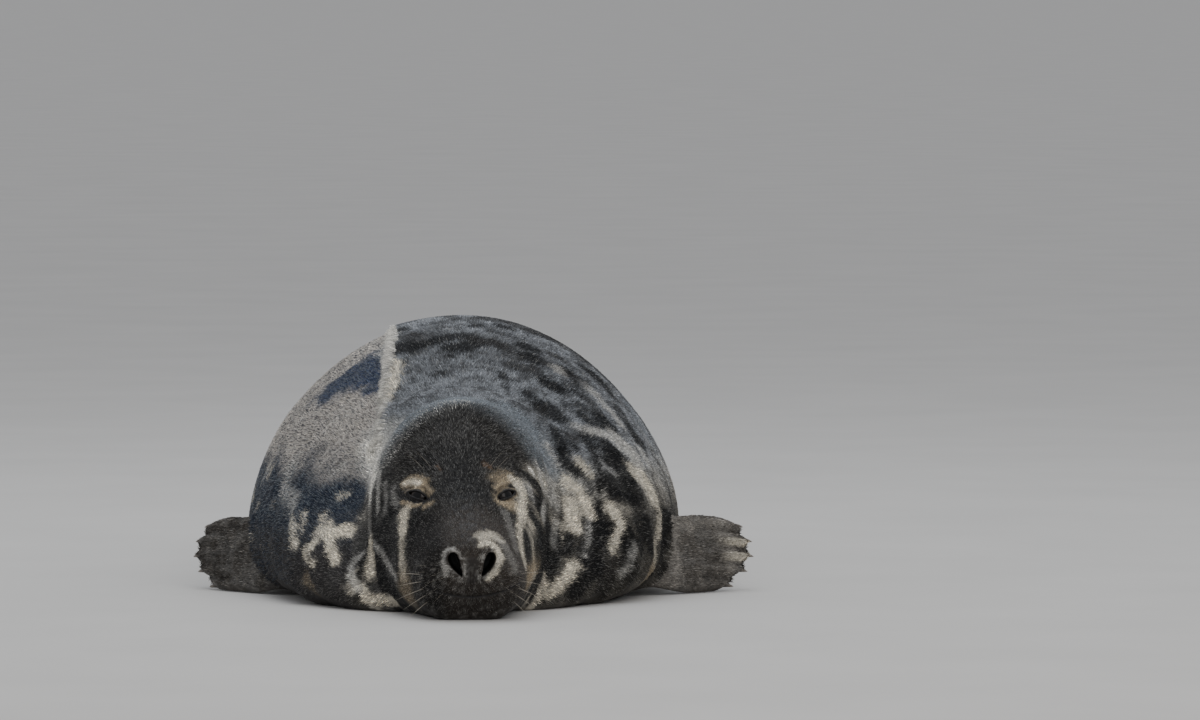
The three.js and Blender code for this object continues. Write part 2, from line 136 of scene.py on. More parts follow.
def faded(x, low, high):
    """The other way round: 1 up to low, and 0 from high on."""
    return 1 - smooth(x, low, high)


def bell(x, width):
    return np.exp(-((x / width) ** 2))


def unit(v):
    return v / np.maximum(np.linalg.norm(v, axis=-1, keepdims=True), 1e-9)


def lattice(i, j, k, seed):
    """A repeatable value from -1 to 1 for each point of a whole-number lattice."""
    h = (i * 374761393 + j * 668265263 + k * 1274126177 + seed * 974711) & 0x7FFFFFFF
    h = ((h ^ (h >> 13)) * 1274126177) & 0x7FFFFFFF
    h = ((h ^ (h >> 15)) * 668265263) & 0x7FFFFFFF
    return (h & 0xFFFFFF) / 8388607.5 - 1


def mottle(p, size, seed=0, octaves=1):
    """Smooth noise from about -1 to 1 with blotches about size across."""
    total, weight, norm = 0.0, 1.0, 0.0
    q = p / np.asarray(size, float)
    for octave in range(octaves):
        cell = np.floor(q).astype(np.int64)
        f = q - cell
        f = f * f * (3 - 2 * f)
        value = 0.0
        for corner in range(8):
            step = np.array([corner & 1, (corner >> 1) & 1, corner >> 2])
            near = np.where(step, f, 1 - f)
            share = near[:, 0] * near[:, 1] * near[:, 2]
            value = value + share * lattice(*(cell + step).T, seed + 31 * octave)
        total = total + weight * value
        norm += weight
        weight *= 0.55
        q = q * 2.03 + 17.1
    return total / norm * 1.6


# ---------------------------------------------------------------- the form of the body
def level_curves(levels):
    """For each column of a table of levels, a smooth curve by the root of the distance."""
    rows = np.array(levels, float)
    root = np.sqrt(rows[:, 0] - rows[0, 0])
    fine = np.linspace(0, root[-1], 3000)
    step = np.diff(root)
    curves = []
    for column in range(1, 7):
        v = rows[:, column]
        slope = np.diff(v) / step
        tangent = np.zeros(len(v))
        tangent[0], tangent[-1] = slope[0], slope[-1]
        for i in range(1, len(v) - 1):
            if slope[i - 1] * slope[i] > 0:
                a = 2 * step[i] + step[i - 1]
                b = step[i] + 2 * step[i - 1]
                tangent[i] = (a + b) / (a / slope[i - 1] + b / slope[i])
        i = np.clip(np.searchsorted(root, fine) - 1, 0, len(v) - 2)
        u = np.clip((fine - root[i]) / step[i], 0, 1)
        w = 1 - u
        ends = v[i] * (1 + 2 * u) * w * w + v[i + 1] * u * u * (3 - 2 * u)
        curves.append(ends + tangent[i] * step[i] * u * w * w - tangent[i + 1] * step[i] * u * u * w)
    return rows[0, 0], rows[-1, 0], fine, curves


def tube(form, x, y, z):
    """Rough distance from a tube of egg-shaped sections, negative inside."""
    first, last, fine, curves = form
    root = np.sqrt(np.clip(y - first, 0, None))
    half, top, low, wide, crown, keel = (np.interp(root, fine, curve) for curve in curves)
    above = z > wide
    height = np.maximum(np.where(above, top - wide, wide - low), 0.5)
    power = np.where(above, crown, keel)
    sideways = (np.abs(x) / np.maximum(half, 0.5)) ** power
    upwards = (np.abs(z - wide) / height) ** power
    share = (sideways + upwards) ** (1 / power)
    away = np.hypot(x, z - wide) * (1 - 1 / np.maximum(share, 1e-6))
    return np.where((y < first) | (y > last), 1000.0, away)


HEAD_FORM = level_curves(HEAD_LEVELS)
TRUNK_FORM = level_curves(TRUNK_LEVELS)


def swelling(x, y, z):
    raised = 0.0
    for (px, py, pz), reach, height in SWELLINGS:
        far = (np.abs(x) - px) ** 2 + (y - py) ** 2 + (z - pz) ** 2
        raised = raised + height * np.exp(-far / reach**2)
    return raised


def neck_rolls(x, y, z):
    along = y - ROLL_LEAN * z
    beside = smooth(np.abs(x), 0, 60) * 0.45 + 0.55
    raised = sum(height * bell(along - at, width) for at, width, height in ROLLS)
    return np.where((y < 180) | (y > 720), 0.0, raised * beside)


def past_fold(x, z):
    """How far a place lies on the neck's side of the flank fold."""
    return x - (FOLD["x"] - FOLD["lean"] * (FOLD["top"] - z))


def flank_fold(x, y, z):
    """The long fold on the seal's right, where the skin of the neck is pushed over the flank."""
    past = past_fold(x, z)
    along = smooth(y, FOLD["start"], FOLD["start"] + 60) * faded(y, FOLD["end"], FOLD["end"] + FOLD["fade"])
    over = FOLD["height"] * np.exp(-np.maximum(past, 0) / FOLD["spread"]) * smooth(past, -4, 4)
    under = -0.35 * FOLD["height"] * np.exp(np.minimum(past, 0) / 25) * faded(past, -4, 4)
    return (over + under) * along


def body_field(p):
    """Rough distance from the coat of the straight body, negative inside."""
    x, y, z = p[..., 0], p[..., 1], p[..., 2]
    a, b = tube(HEAD_FORM, x, y, z), tube(TRUNK_FORM, x, y, z)
    h = np.clip(0.5 + 0.5 * (b - a) / BLEND, 0, 1)
    blended = b * (1 - h) + a * h - BLEND * h * (1 - h)
    return blended - swelling(x, y, z) - neck_rolls(x, y, z) - flank_fold(x, y, z)


def axis_height(y):
    return np.interp(y, AXIS_PLACES, AXIS_HEIGHTS)


def section_lean(s):
    """How far the rings of the head and neck lean back, by place along the body."""
    return SECTION_LEAN * smooth(s, 60, 280) * faded(s, 480, 900)


def section_point(s, angle, r):
    z = axis_height(s) + r * np.cos(angle)
    return np.stack([r * np.sin(angle), s + section_lean(s) * (z - 100), z], -1)


def surface_point(s, angle):
    """The point of the coat's surface at a place along the body and an angle round it."""
    beyond_body, halvings = 520.0, 24
    inside, outside = np.zeros_like(s), np.full_like(s, beyond_body)
    for _ in range(halvings):
        r = (inside + outside) / 2
        within = body_field(section_point(s, angle, r)) < 0
        inside, outside = np.where(within, r, inside), np.where(within, outside, r)
    return section_point(s, angle, inside)


def face_point(x, z):
    """The first points of the coat met going straight back from in front of the head."""
    x, z = np.atleast_1d(x).astype(float), np.atleast_1d(z).astype(float)
    start, end, step, halvings = -10.0, 400.0, 3.0, 16
    near, far = np.full_like(x, start), np.full_like(x, end)
    for y in np.arange(start, end, step):
        within = body_field(np.stack([x, np.full_like(x, y), z], -1)) < 0
        fresh = within & (far == end)
        far[fresh], near[fresh] = y, y - step
    for _ in range(halvings):
        y = (near + far) / 2
        within = body_field(np.stack([x, y, z], -1)) < 0
        far, near = np.where(within, y, far), np.where(within, near, y)
    return np.stack([x, far, z], -1)


def posed(p):
    """The bend of the neck and hindquarters, from the straight body to the posed one."""
    turn = HEAD_TURN * faded(p[:, 1], TURN_FROM, TURN_TO)
    y = p[:, 1] - HEAD_PIVOT
    tail = np.maximum(p[:, 1] - SWING_FROM, 0) / (BODY_LENGTH - SWING_FROM)
    x = p[:, 0] * np.cos(turn) - y * np.sin(turn) + SWING_AT_TAIL * tail**2
    return np.stack([x, HEAD_PIVOT + p[:, 0] * np.sin(turn) + y * np.cos(turn), p[:, 2]], -1)


# Rounds of guessing a place along the body before the guess stands still.
SETTLES = 10


def straightened(p):
    """The way back, from the posed body to the straight one."""
    y = p[:, 1].copy()
    for _ in range(SETTLES):
        turn = HEAD_TURN * faded(y, TURN_FROM, TURN_TO)
        tail = np.maximum(y - SWING_FROM, 0) / (BODY_LENGTH - SWING_FROM)
        dx, dy = p[:, 0] - SWING_AT_TAIL * tail**2, p[:, 1] - HEAD_PIVOT
        x = dx * np.cos(turn) + dy * np.sin(turn)
        y = HEAD_PIVOT - dx * np.sin(turn) + dy * np.cos(turn)
    return np.stack([x, y, p[:, 2]], -1)


# ---------------------------------------------------------------- places worked out from the frame
SIDES = {"left": 1.0, "right": -1.0}


def eye_place(side):
    """The lid's front, the eyeball's middle, and the ways outwards, upwards and forwards of an eye."""
    lid = face_point(side * EYE["x"], EYE["z"])[0]
    out, up = np.radians(EYE["out"]), np.radians(EYE["up"])
    gaze = np.array([side * np.sin(out) * np.cos(up), -np.cos(out) * np.cos(up), np.sin(up)])
    outwards = unit(-side * np.cross(gaze, (0, 0, 1)))
    upwards = unit(np.array((0, 0, 1)) - gaze[2] * gaze)
    slant = np.radians(LIDS["slant"])
    across = np.cos(slant) * outwards + np.sin(slant) * upwards
    return dict(
        lid=lid,
        middle=lid - gaze * (EYE["radius"] + EYE["sunk"]),
        gaze=gaze,
        across=across,
        above=np.cos(slant) * upwards - np.sin(slant) * outwards,
    )


EYES = {name: eye_place(side) for name, side in SIDES.items()}


def nose_place():
    """Where the tip of the nose lies in the frame, from the eyeballs' boxes."""
    middles = [sum((Vector(c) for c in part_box("eye_" + name)), Vector()) / 2 for name in SIDES]
    drawn = [posed(EYES[name]["middle"][None])[0] * MM for name in SIDES]
    shift = (np.array(middles[0]) + np.array(middles[1])) / 2 - (drawn[0] + drawn[1]) / 2
    return np.array([shift[0], shift[1], 0.0])


NOSE_AT = nose_place()


def placed(p):
    """From posed millimetres to the frame's metres."""
    return p * MM + NOSE_AT


# ---------------------------------------------------------------- flippers and tail
DIGITS = 5
FORE = dict(length=262.0, root=96.0, palm=122.0, thick=46.0, tip=17.0, reach=0.16, scallop=13.0, lead=0.25)
HIND = dict(length=300.0, root=74.0, palm=168.0, thick=44.0, tip=13.0, reach=-0.14, scallop=15.0, lead=0.0)
# Each flipper: its form, where it starts, the way it points, the way its upper side faces, and its curl.
LIMB_ROWS = (
    ("fore_left", FORE, (206, 452, 64), (0.85, 0.5, -0.03), (0.05, 0.42, 0.9), -20),
    ("fore_right", FORE, (-204, 462, 60), (-0.76, 0.64, -0.03), (0, 0.42, 0.9), 16),
    ("hind_left", HIND, (-14, 1640, 43), (0.16, 0.98, -0.04), (-0.9, 0, 0.42), 10),
    ("hind_right", HIND, (-84, 1635, 43), (-0.36, 0.94, -0.04), (0.9, 0, 0.42), -10),
)
LIMBS = {name: dict(zip(("form", "root", "along", "upper", "curl"), row)) for name, *row in LIMB_ROWS}
TAIL = dict(start=1700.0, length=118.0, half=26.0, thick=15.0, height=42.0, x=-66.0)
CLAWS = {"fore": dict(length=27.0, radius=3.8, set=17.0), "hind": dict(length=15.0, radius=2.6, set=9.0)}


def flipper_end(form, share):
    """How long a flipper is at a place across it, with a lobe for each digit."""
    lobe = np.abs(np.cos(np.pi * DIGITS * (share + 1) / 2 + np.pi / 2)) ** 0.6
    return form["length"] * (1 - form["reach"] * (share - form["lead"]) ** 2) - form["scallop"] * (1 - lobe)


def limb_axes(limb):
    """The ways along, across and through a flipper, as rows."""
    x = unit(np.array(limb["along"], float))
    z = unit(np.cross(x, np.array(limb["upper"], float)))
    return np.stack([x, np.cross(z, x), z])


def full_turn(count):
    """Angles all the way round, without the last, which would be the first again."""
    return np.linspace(0, 2 * np.pi, count, endpoint=False)


def limb_rings(limb, steps, around, inset):
    """Rings of points down a flipper, with ridges for its digits and webs between them."""
    form = limb["form"]
    t, angle = np.meshgrid(np.linspace(0, 1, steps) ** 0.85, full_turn(around), indexing="ij")
    across, through = np.cos(angle), np.sin(angle)
    share = np.sign(across) * np.abs(across) ** 0.85
    breadth = form["root"] + (form["palm"] - form["root"]) * smooth(t, 0, 0.75)
    rounded = np.sqrt(np.maximum(1 - np.maximum(t - 0.82, 0) ** 2 / 0.18**2, 0))
    crest = np.cos(np.pi * DIGITS * (share + 1) + np.pi)
    ridge = 1 + smooth(t, 0.3, 0.8) * (0.22 * crest - 0.15 * (1 - crest))
    thick = form["thick"] + (form["tip"] - form["thick"]) * smooth(t, 0, 0.8)
    thick = np.maximum(thick * np.maximum(rounded, 0.12) * ridge - 2 * inset, 1.2)
    narrowed = 1 - 0.1 * (1 - rounded)
    local = np.stack(
        [
            t * (flipper_end(form, share) - inset),
            (breadth / 2 - inset) * share * narrowed,
            (thick / 2) * np.sign(through) * np.abs(through) ** 0.8 + limb["curl"] * t * t,
        ],
        -1,
    )
    return local @ limb_axes(limb) + np.array(limb["root"], float)


def tail_rings(steps, around, inset):
    t, a = np.meshgrid(np.linspace(0, 1, steps), -full_turn(around), indexing="ij")
    narrow = np.sqrt(np.maximum(1 - t**2.4, 0.004))
    return np.stack(
        [
            TAIL["x"] - 8 * t + np.maximum(TAIL["half"] * narrow - inset, 0.8) * np.sin(a),
            TAIL["start"] + (TAIL["length"] - inset) * t,
            TAIL["height"] - 14 * t + np.maximum(TAIL["thick"] * narrow - inset, 0.8) * np.cos(a),
        ],
        -1,
    )


# ---------------------------------------------------------------- meshes
def in_scene(name, data):
    """A new object in the scene, made of the given data."""
    made = bpy.data.objects.new(name, data)
    bpy.context.scene.collection.objects.link(made)
    return made


def new_object(name, verts, faces, smooth_shaded=True):
    mesh = bpy.data.meshes.new(name)
    verts = np.asarray(verts, np.float32)
    sizes = np.array([len(face) for face in faces], int)
    flat = np.concatenate([np.asarray(face) for face in faces] or [np.zeros(0, int)])
    mesh.vertices.add(len(verts))
    mesh.vertices.foreach_set("co", verts.ravel())
    mesh.loops.add(len(flat))
    mesh.loops.foreach_set("vertex_index", flat.astype(np.int32))
    mesh.polygons.add(len(sizes))
    mesh.polygons.foreach_set("loop_start", (np.cumsum(sizes) - sizes).astype(np.int32))
    mesh.update(calc_edges=True)
    mesh.validate()
    if smooth_shaded:
        mesh.shade_smooth()
    return in_scene(name, mesh)


def rows_of(items, field):
    """The three numbers that each item of a mesh holds, as rows."""
    found = np.empty(len(items) * 3, np.float32)
    items.foreach_get(field, found)
    return found.reshape(-1, 3).astype(float)


def coordinates(mesh):
    return rows_of(mesh.vertices, "co")


def normals(mesh):
    return rows_of(mesh.vertex_normals, "vector")


def set_coordinates(mesh, co):
    mesh.vertices.foreach_set("co", np.asarray(co, np.float32).ravel())
    mesh.update()


def keep_attribute(mesh, name, kind, values):
    field = {"FLOAT": "value", "FLOAT_VECTOR": "vector", "FLOAT_COLOR": "color"}[kind]
    made = mesh.attributes.new(name, kind, "POINT")
    made.data.foreach_set(field, np.asarray(values, np.float32).ravel())


def ring_faces(counts):
    """Faces between rings of the given numbers of points; a ring may have half as many as the one before."""
    starts = np.concatenate([[0], np.cumsum(counts)])
    faces = []
    for i in range(len(counts) - 1):
        n, m = counts[i], counts[i + 1]
        a, b = starts[i] + np.arange(n), starts[i + 1] + np.arange(m)
        b_next = np.roll(b, -1)
        if n == m:
            bands = [(a, b, b_next, np.roll(a, -1))]
        else:
            even, odd = a[0::2], a[1::2]
            bands = [(even, b, odd), (odd, b_next, np.roll(even, -1)), (odd, b, b_next)]
        for band in bands:
            faces.extend(np.stack(band, 1).tolist())
    return faces, starts


def faces_outwards(made):
    mesh = bmesh.new()
    mesh.from_mesh(made.data)
    bmesh.ops.recalc_face_normals(mesh, faces=mesh.faces)
    mesh.to_mesh(made.data)
    mesh.free()
    return made


def closed_rings(name, rings):
    """A closed mesh from a list of rings, with a fan over each end."""
    counts = [len(ring) for ring in rings]
    faces, starts = ring_faces(counts)
    points = np.concatenate(rings + [rings[0].mean(0)[None], rings[-1].mean(0)[None]])
    first, last = len(points) - 2, len(points) - 1
    n, m = counts[0], counts[-1]
    faces += [[first, j, (j + 1) % n] for j in range(n)]
    faces += [[last, starts[-2] + (j + 1) % m, starts[-2] + j] for j in range(m)]
    return faces_outwards(new_object(name, points, faces))


# ---------------------------------------------------------------- the skin
# Depth of the coat on the flippers and tail.
LIMB_COAT = 1.6


def coat_depth(s):
    return 1.8 + 2.4 * smooth(s, 120, 420)


# Points round a ring on the head and on the body, and the place where they change over.
HEAD_AROUND, BODY_AROUND = 256, 128
HALVE_AT = 262.0


def ring_places():
    """Places of the rings along the body, close together on the face and wider apart on the trunk."""
    s = np.linspace(0.02, np.sqrt(BODY_LENGTH - 0.3), 2600) ** 2
    path = 0.0
    for degrees in (0, 60, 100, 170):
        line = surface_point(s, np.full_like(s, np.radians(degrees)))
        path = np.maximum(path, np.linalg.norm(np.diff(line, axis=0), axis=1))
    middle = (s[1:] + s[:-1]) / 2
    apart = 2.6 + 2.8 * smooth(middle, 190, 300) + 7.5 * smooth(middle, 470, 700)
    count = np.concatenate([[0], np.cumsum(path / apart)])
    return np.interp(np.arange(0, count[-1]), count, s)


def body_skin():
    places = ring_places()
    around = np.where(places < HALVE_AT, HEAD_AROUND, BODY_AROUND)
    s = np.repeat(places, around)
    angle = np.concatenate([2 * np.pi * np.arange(n) / n for n in around])
    points = surface_point(s, angle)
    rings = np.split(points, np.cumsum(around)[:-1])
    return closed_rings("skin", rings)


def eye_view(p, eye):
    """Places round an eye: across it, above it and in front of its lid, and the distance from its opening."""
    d = p - eye["lid"]
    a, b, c = d @ eye["across"], d @ eye["above"], d @ eye["gaze"]
    share = np.clip(np.abs(a) / LIDS["half"], 0, 1)
    arch = (1 - share**2) ** 0.8
    inside = np.maximum(b - LIDS["upper"] * arch, -b - LIDS["lower"] * arch)
    beyond = np.hypot(np.maximum(np.abs(a) - LIDS["half"], 0), b)
    return a, b, c, np.where(np.abs(a) > LIDS["half"], beyond, inside)


def nostril_view(p, side):
    """Places along and across a nostril, and the distance from its rim."""
    tilt = np.radians(NOSTRIL["tilt"])
    dx, dz = side * p[:, 0] - NOSTRIL["x"], p[:, 2] - NOSTRIL["z"]
    along = (dx * np.sin(tilt) + dz * np.cos(tilt)) / (NOSTRIL["length"] / 2)
    across = dx * np.cos(tilt) - dz * np.sin(tilt) + 1.2 * along**2 - 0.4
    half = NOSTRIL["half"] * np.sqrt(np.clip(1 - along**2, 0, None)) * (0.86 + 0.5 * along)
    past = np.maximum(np.abs(along) - 1, 0) * NOSTRIL["length"] / 2
    outside = np.hypot(np.maximum(np.abs(across) - half, 0), past)
    inside = np.maximum(half - np.abs(across), 0) * (past == 0)
    return along, across, outside - inside


def mouth_view(p):
    """The distance above the line of the mouth, and how strongly it shows there."""
    line = MOUTH["z"] + MOUTH["rise"] * (p[:, 0] / MOUTH["half"]) ** 2
    shown = faded(np.abs(p[:, 0]), MOUTH["half"] - 8, MOUTH["half"] + 6) * faded(p[:, 1], 85, 115)
    return p[:, 2] - line, shown


def refine(skin, wanted):
    """Cuts each wanted face into four."""
    mesh = bmesh.new()
    mesh.from_mesh(skin.data)
    mesh.faces.ensure_lookup_table()
    middles = np.array([f.calc_center_median() for f in mesh.faces])
    faces = [mesh.faces[i] for i in np.nonzero(wanted(middles))[0]]
    edges = list({edge for face in faces for edge in face.edges})
    bmesh.ops.subdivide_edges(mesh, edges=edges, cuts=1, use_grid_fill=True)
    bmesh.ops.triangulate(mesh, faces=[f for f in mesh.faces if len(f.verts) > 4])
    mesh.to_mesh(skin.data)
    mesh.free()
    skin.data.shade_smooth()


def near_features(eye_reach, nostril_reach):
    """A test for faces close to an eye's opening or a nostril."""

    def wanted(p):
        near = np.zeros(len(p), bool)
        for name, side in SIDES.items():
            _, _, c, away = eye_view(p, EYES[name])
            near |= (away < eye_reach) & (np.abs(c) < EYE_REACH)
            near |= (nostril_view(p, side)[2] < nostril_reach) & (p[:, 1] < 40)
        return near

    return wanted


def near_mouth(p):
    above, shown = mouth_view(p)
    return (np.abs(above) < 5) & (shown > 0.05)


def near_fold(p):
    past = past_fold(p[:, 0], p[:, 2])
    return (np.abs(past) < 20) & (p[:, 1] > 380) & (p[:, 1] < 900) & (p[:, 2] > 60)


def drawn_in(p, depth):
    """Moves points along the field's own slope until they lie at the given depth inside the coat."""
    for _ in range(4):
        value = body_field(p) + depth
        slope = np.stack([body_field(p + step) - body_field(p - step) for step in np.eye(3) * 0.5], -1)
        length = np.maximum((slope**2).sum(-1), 0.25)
        p = p - np.clip(value / length, -3, 3)[:, None] * slope
    return p


def follicles():
    """The rows of pits that the whiskers grow from, on the left side."""
    rows = []
    for row in range(5):
        for place in range(6 - row // 2):
            rows.append((35 + 7.2 * place + 1.5 * row, 70 - 8.2 * row + 1.6 * place))
    spots = np.array(rows)
    return face_point(spots[:, 0], spots[:, 1])


FOLLICLES = follicles()


def face_relief(p, n):
    """Moves the skin of the face to make lids, nostrils, lips and whisker pads."""
    moved = p.copy()
    above, shown = mouth_view(p)
    relief = (-2.4 * bell(above, 1.7) + 1.2 * bell(above - 7, 4.5) + 1.3 * bell(above + 7, 4.5)) * shown
    groove = bell(p[:, 0], 2.4) * smooth(p[:, 2], 36, 42) * faded(p[:, 2], 66, 80)
    relief -= 2.2 * groove * (p[:, 1] < 60)
    for x, y, z in FOLLICLES:
        far = (np.abs(p[:, 0]) - x) ** 2 + (p[:, 1] - y) ** 2 + (p[:, 2] - z) ** 2
        relief += 0.9 * np.exp(-far / 2.6**2) - 0.9 * np.exp(-far / 1.1**2)
    relief += 0.35 * mottle(p, 9, 3, 2) * faded(p[:, 1], 150, 260)
    moved += n * relief[:, None]
    for side in SIDES.values():
        _, across, away = nostril_view(p, side)
        front = p[:, 1] < 45
        wing = 2.6 * bell(away - 3.2, 2.6) * (0.35 + 0.65 * smooth(across, -5, 5))
        moved += n * (wing * front * (away > 0))[:, None]
        pit = smooth(-away, -0.6, 2.4) * front
        moved[:, 1] += NOSTRIL["depth"] * pit
        moved[:, 0] -= side * 2.5 * pit
    for eye in EYES.values():
        moved = lids_shaped(p, moved, eye)
    return moved


def lids_shaped(p, moved, eye):
    a, b, c, away = eye_view(p, eye)
    near = (np.hypot(a, b) < 34) & (np.abs(c) < 32)
    flat = np.minimum(a**2 + b**2, (0.92 * EYE["radius"]) ** 2)
    ball = np.sqrt(EYE["radius"] ** 2 - flat) - EYE["radius"] - EYE["sunk"]
    hug = faded(away, 1.5, 10.0) * near
    target = np.maximum(ball + LIDS["thick"], LIDS["corner"]) + 0.7 * bell(away - 1.4, 1.5)
    shift = (target - c) * hug
    upper = smooth(b, -3, 3)
    crease = -1.3 * bell(away - 7.5, 2.0) * upper - 0.9 * bell(away - 6.5, 1.9) * (1 - upper)
    bag = 1.3 * bell(away - 11.5, 3.2)
    shift += (crease + bag) * near * smooth(30 - np.hypot(a, b), 0, 10)
    inner = smooth(-away, -0.2, 1.3) * near
    shift = shift * (1 - inner) + (-12.5 - c) * inner
    return moved + shift[:, None] * eye["gaze"]


def neck_wrinkles(p):
    """Fine creases that run round the neck and behind the fore flippers."""
    along = (p[:, 1] - ROLL_LEAN * p[:, 2])[:, None]
    stretched = np.concatenate([p[:, :1] / 6, along, p[:, 2:] / 6], 1)
    crease = 1 - np.abs(mottle(stretched, 11, 9, 2))
    where = smooth(p[:, 1], 250, 330) * faded(p[:, 1], 520, 640)
    return -1.3 * smooth(crease, 0.55, 1.0) * where


def blubber(p):
    return 2.2 * mottle(p, 150, 21, 2) * smooth(p[:, 1], 380, 620)


def evaluated_mesh(piece):
    """A plain mesh of the piece as its modifiers leave it; the modifiers are then taken off."""
    evaluated = piece.evaluated_get(bpy.context.evaluated_depsgraph_get())
    mesh = bpy.data.meshes.new_from_object(evaluated)
    piece.modifiers.clear()
    return mesh


def join(base, parts):
    """Makes one closed mesh of the base and the parts."""
    for part in parts:
        cut = base.modifiers.new("join", "BOOLEAN")
        cut.operation = "UNION"
        cut.solver = "MANIFOLD"
        cut.object = part
    base.data = evaluated_mesh(base)
    for part in parts:
        bpy.data.objects.remove(part)


def limb_view(p, limb):
    """Places along, across and through a flipper, its length being 1 and its half breadth 1."""
    form = limb["form"]
    local = (p - np.array(limb["root"], float)) @ limb_axes(limb).T
    t = local[:, 0] / form["length"]
    share = local[:, 1] / (form["palm"] / 2)
    through = local[:, 2] - limb["curl"] * np.clip(t, 0, 1) ** 2
    return t, share, through


def part_of(p):
    """0 for the body, 1 to 4 for the flippers and 5 for the tail, from posed places."""
    outside = body_field(straightened(p)) > 1.0
    part = np.zeros(len(p), int)
    for number, limb in enumerate(LIMBS.values(), 1):
        t, share, through = limb_view(p, limb)
        within = (t > -0.1) & (t < 1.1) & (np.abs(share) < 1.15) & (np.abs(through) < 34)
        part[outside & within] = number
    tail = (
        (np.abs(p[:, 0] - TAIL["x"] + 4) < TAIL["half"] + 6)
        & (p[:, 1] > TAIL["start"] + 20)
        & (np.abs(p[:, 2] - TAIL["height"] + 8) < TAIL["thick"] + 12)
    )
    part[outside & tail & (part == 0)] = 5
    return part


def soften_roots(mesh):
    """Rounds the corner where each flipper leaves the body."""
    p = coordinates(mesh)
    edges = np.empty(len(mesh.edges) * 2, np.int32)
    mesh.edges.foreach_get("vertices", edges)
    edges = edges.reshape(-1, 2)
    part = part_of(p)
    seam = np.unique(edges[part[edges[:, 0]] != part[edges[:, 1]]])
    tree = KDTree(len(seam))
    for i, v in enumerate(seam):
        tree.insert(p[v], i)
    tree.balance()
    lowest = p[:, 2].min()
    reach, rounds, pull = 44.0, 34, 0.6
    away = np.full(len(p), 1e3)
    box_near = np.zeros(len(p), bool)
    for number in range(1, 6):
        own = p[seam[part[seam] == number]]
        if len(own):
            box_near |= ((p > own.min(0) - reach) & (p < own.max(0) + reach)).all(1)
    for v in np.nonzero(box_near)[0]:
        away[v] = tree.find(p[v])[2]
    weight = bell(away, 0.5 * reach)
    for _ in range(rounds):
        total = np.zeros_like(p)
        count = np.zeros(len(p))
        for i, j in ((0, 1), (1, 0)):
            for axis in range(3):
                total[:, axis] += np.bincount(edges[:, i], p[edges[:, j], axis], len(p))
            count += np.bincount(edges[:, i], minlength=len(p))
        p += pull * weight[:, None] * (total / np.maximum(count, 1)[:, None] - p)
    p[:, 2] = np.maximum(p[:, 2], lowest)
    set_coordinates(mesh, p)


def make_skin():
    """One closed skin for head, body, flippers and tail, posed and still in millimetres."""
    skin = body_skin()
    for wanted in (near_features(16, 9), near_features(9, 3), near_mouth, near_fold):
        refine(skin, wanted)
    p = coordinates(skin.data)
    p = drawn_in(p, coat_depth(p[:, 1]))
    set_coordinates(skin.data, p)
    n = normals(skin.data)
    p = p + n * (neck_wrinkles(p) + blubber(p))[:, None]
    set_coordinates(skin.data, p)
    p = face_relief(p, normals(skin.data))
    p = posed(p)
    p[:, 2] = np.maximum(p[:, 2], SKIN_LOWEST)
    set_coordinates(skin.data, p)
    parts = []
    for name, limb in LIMBS.items():
        rings = limb_rings(limb, 36, 64, LIMB_COAT)
        rings[..., 2] = np.maximum(rings[..., 2], LIMB_LOWEST)
        parts.append(closed_rings(name, list(rings)))
    parts.append(closed_rings("tail_skin", list(tail_rings(22, 40, LIMB_COAT))))
    join(skin, parts)
    soften_roots(skin.data)
    return skin


# ---------------------------------------------------------------- the markings
def paint(code):
    """A linear colour from a screen colour written as six hexadecimal digits."""
    value = np.array([int(code[i : i + 2], 16) for i in (0, 2, 4)]) / 255
    return np.where(value <= 0.04045, value / 12.92, ((value + 0.055) / 1.055) ** 2.4)


COLOURS = {
    name: paint(code)
    for name, code in dict(
        charcoal="23201d",
        soot="08080a",
        ash="6c6a67",
        slate="626569",
        # bluish grey of the painted sky sheen on the crown, nape and back, and of painted glints on damp fur
        rime="8a9197",
        grey="93969a",
        silver="cfccc5",
        cream="eae1ce",
        white="f8f4eb",
        buff="b5a488",
        rust="8c6a4a",
        sand="cdc5bb",
        navy="2b3342",
        wet="1f3457",
        brown="54493f",
        flipper="3e3934",
        knuckle="a39d94",
        lid="100d0c",
    ).items()
}

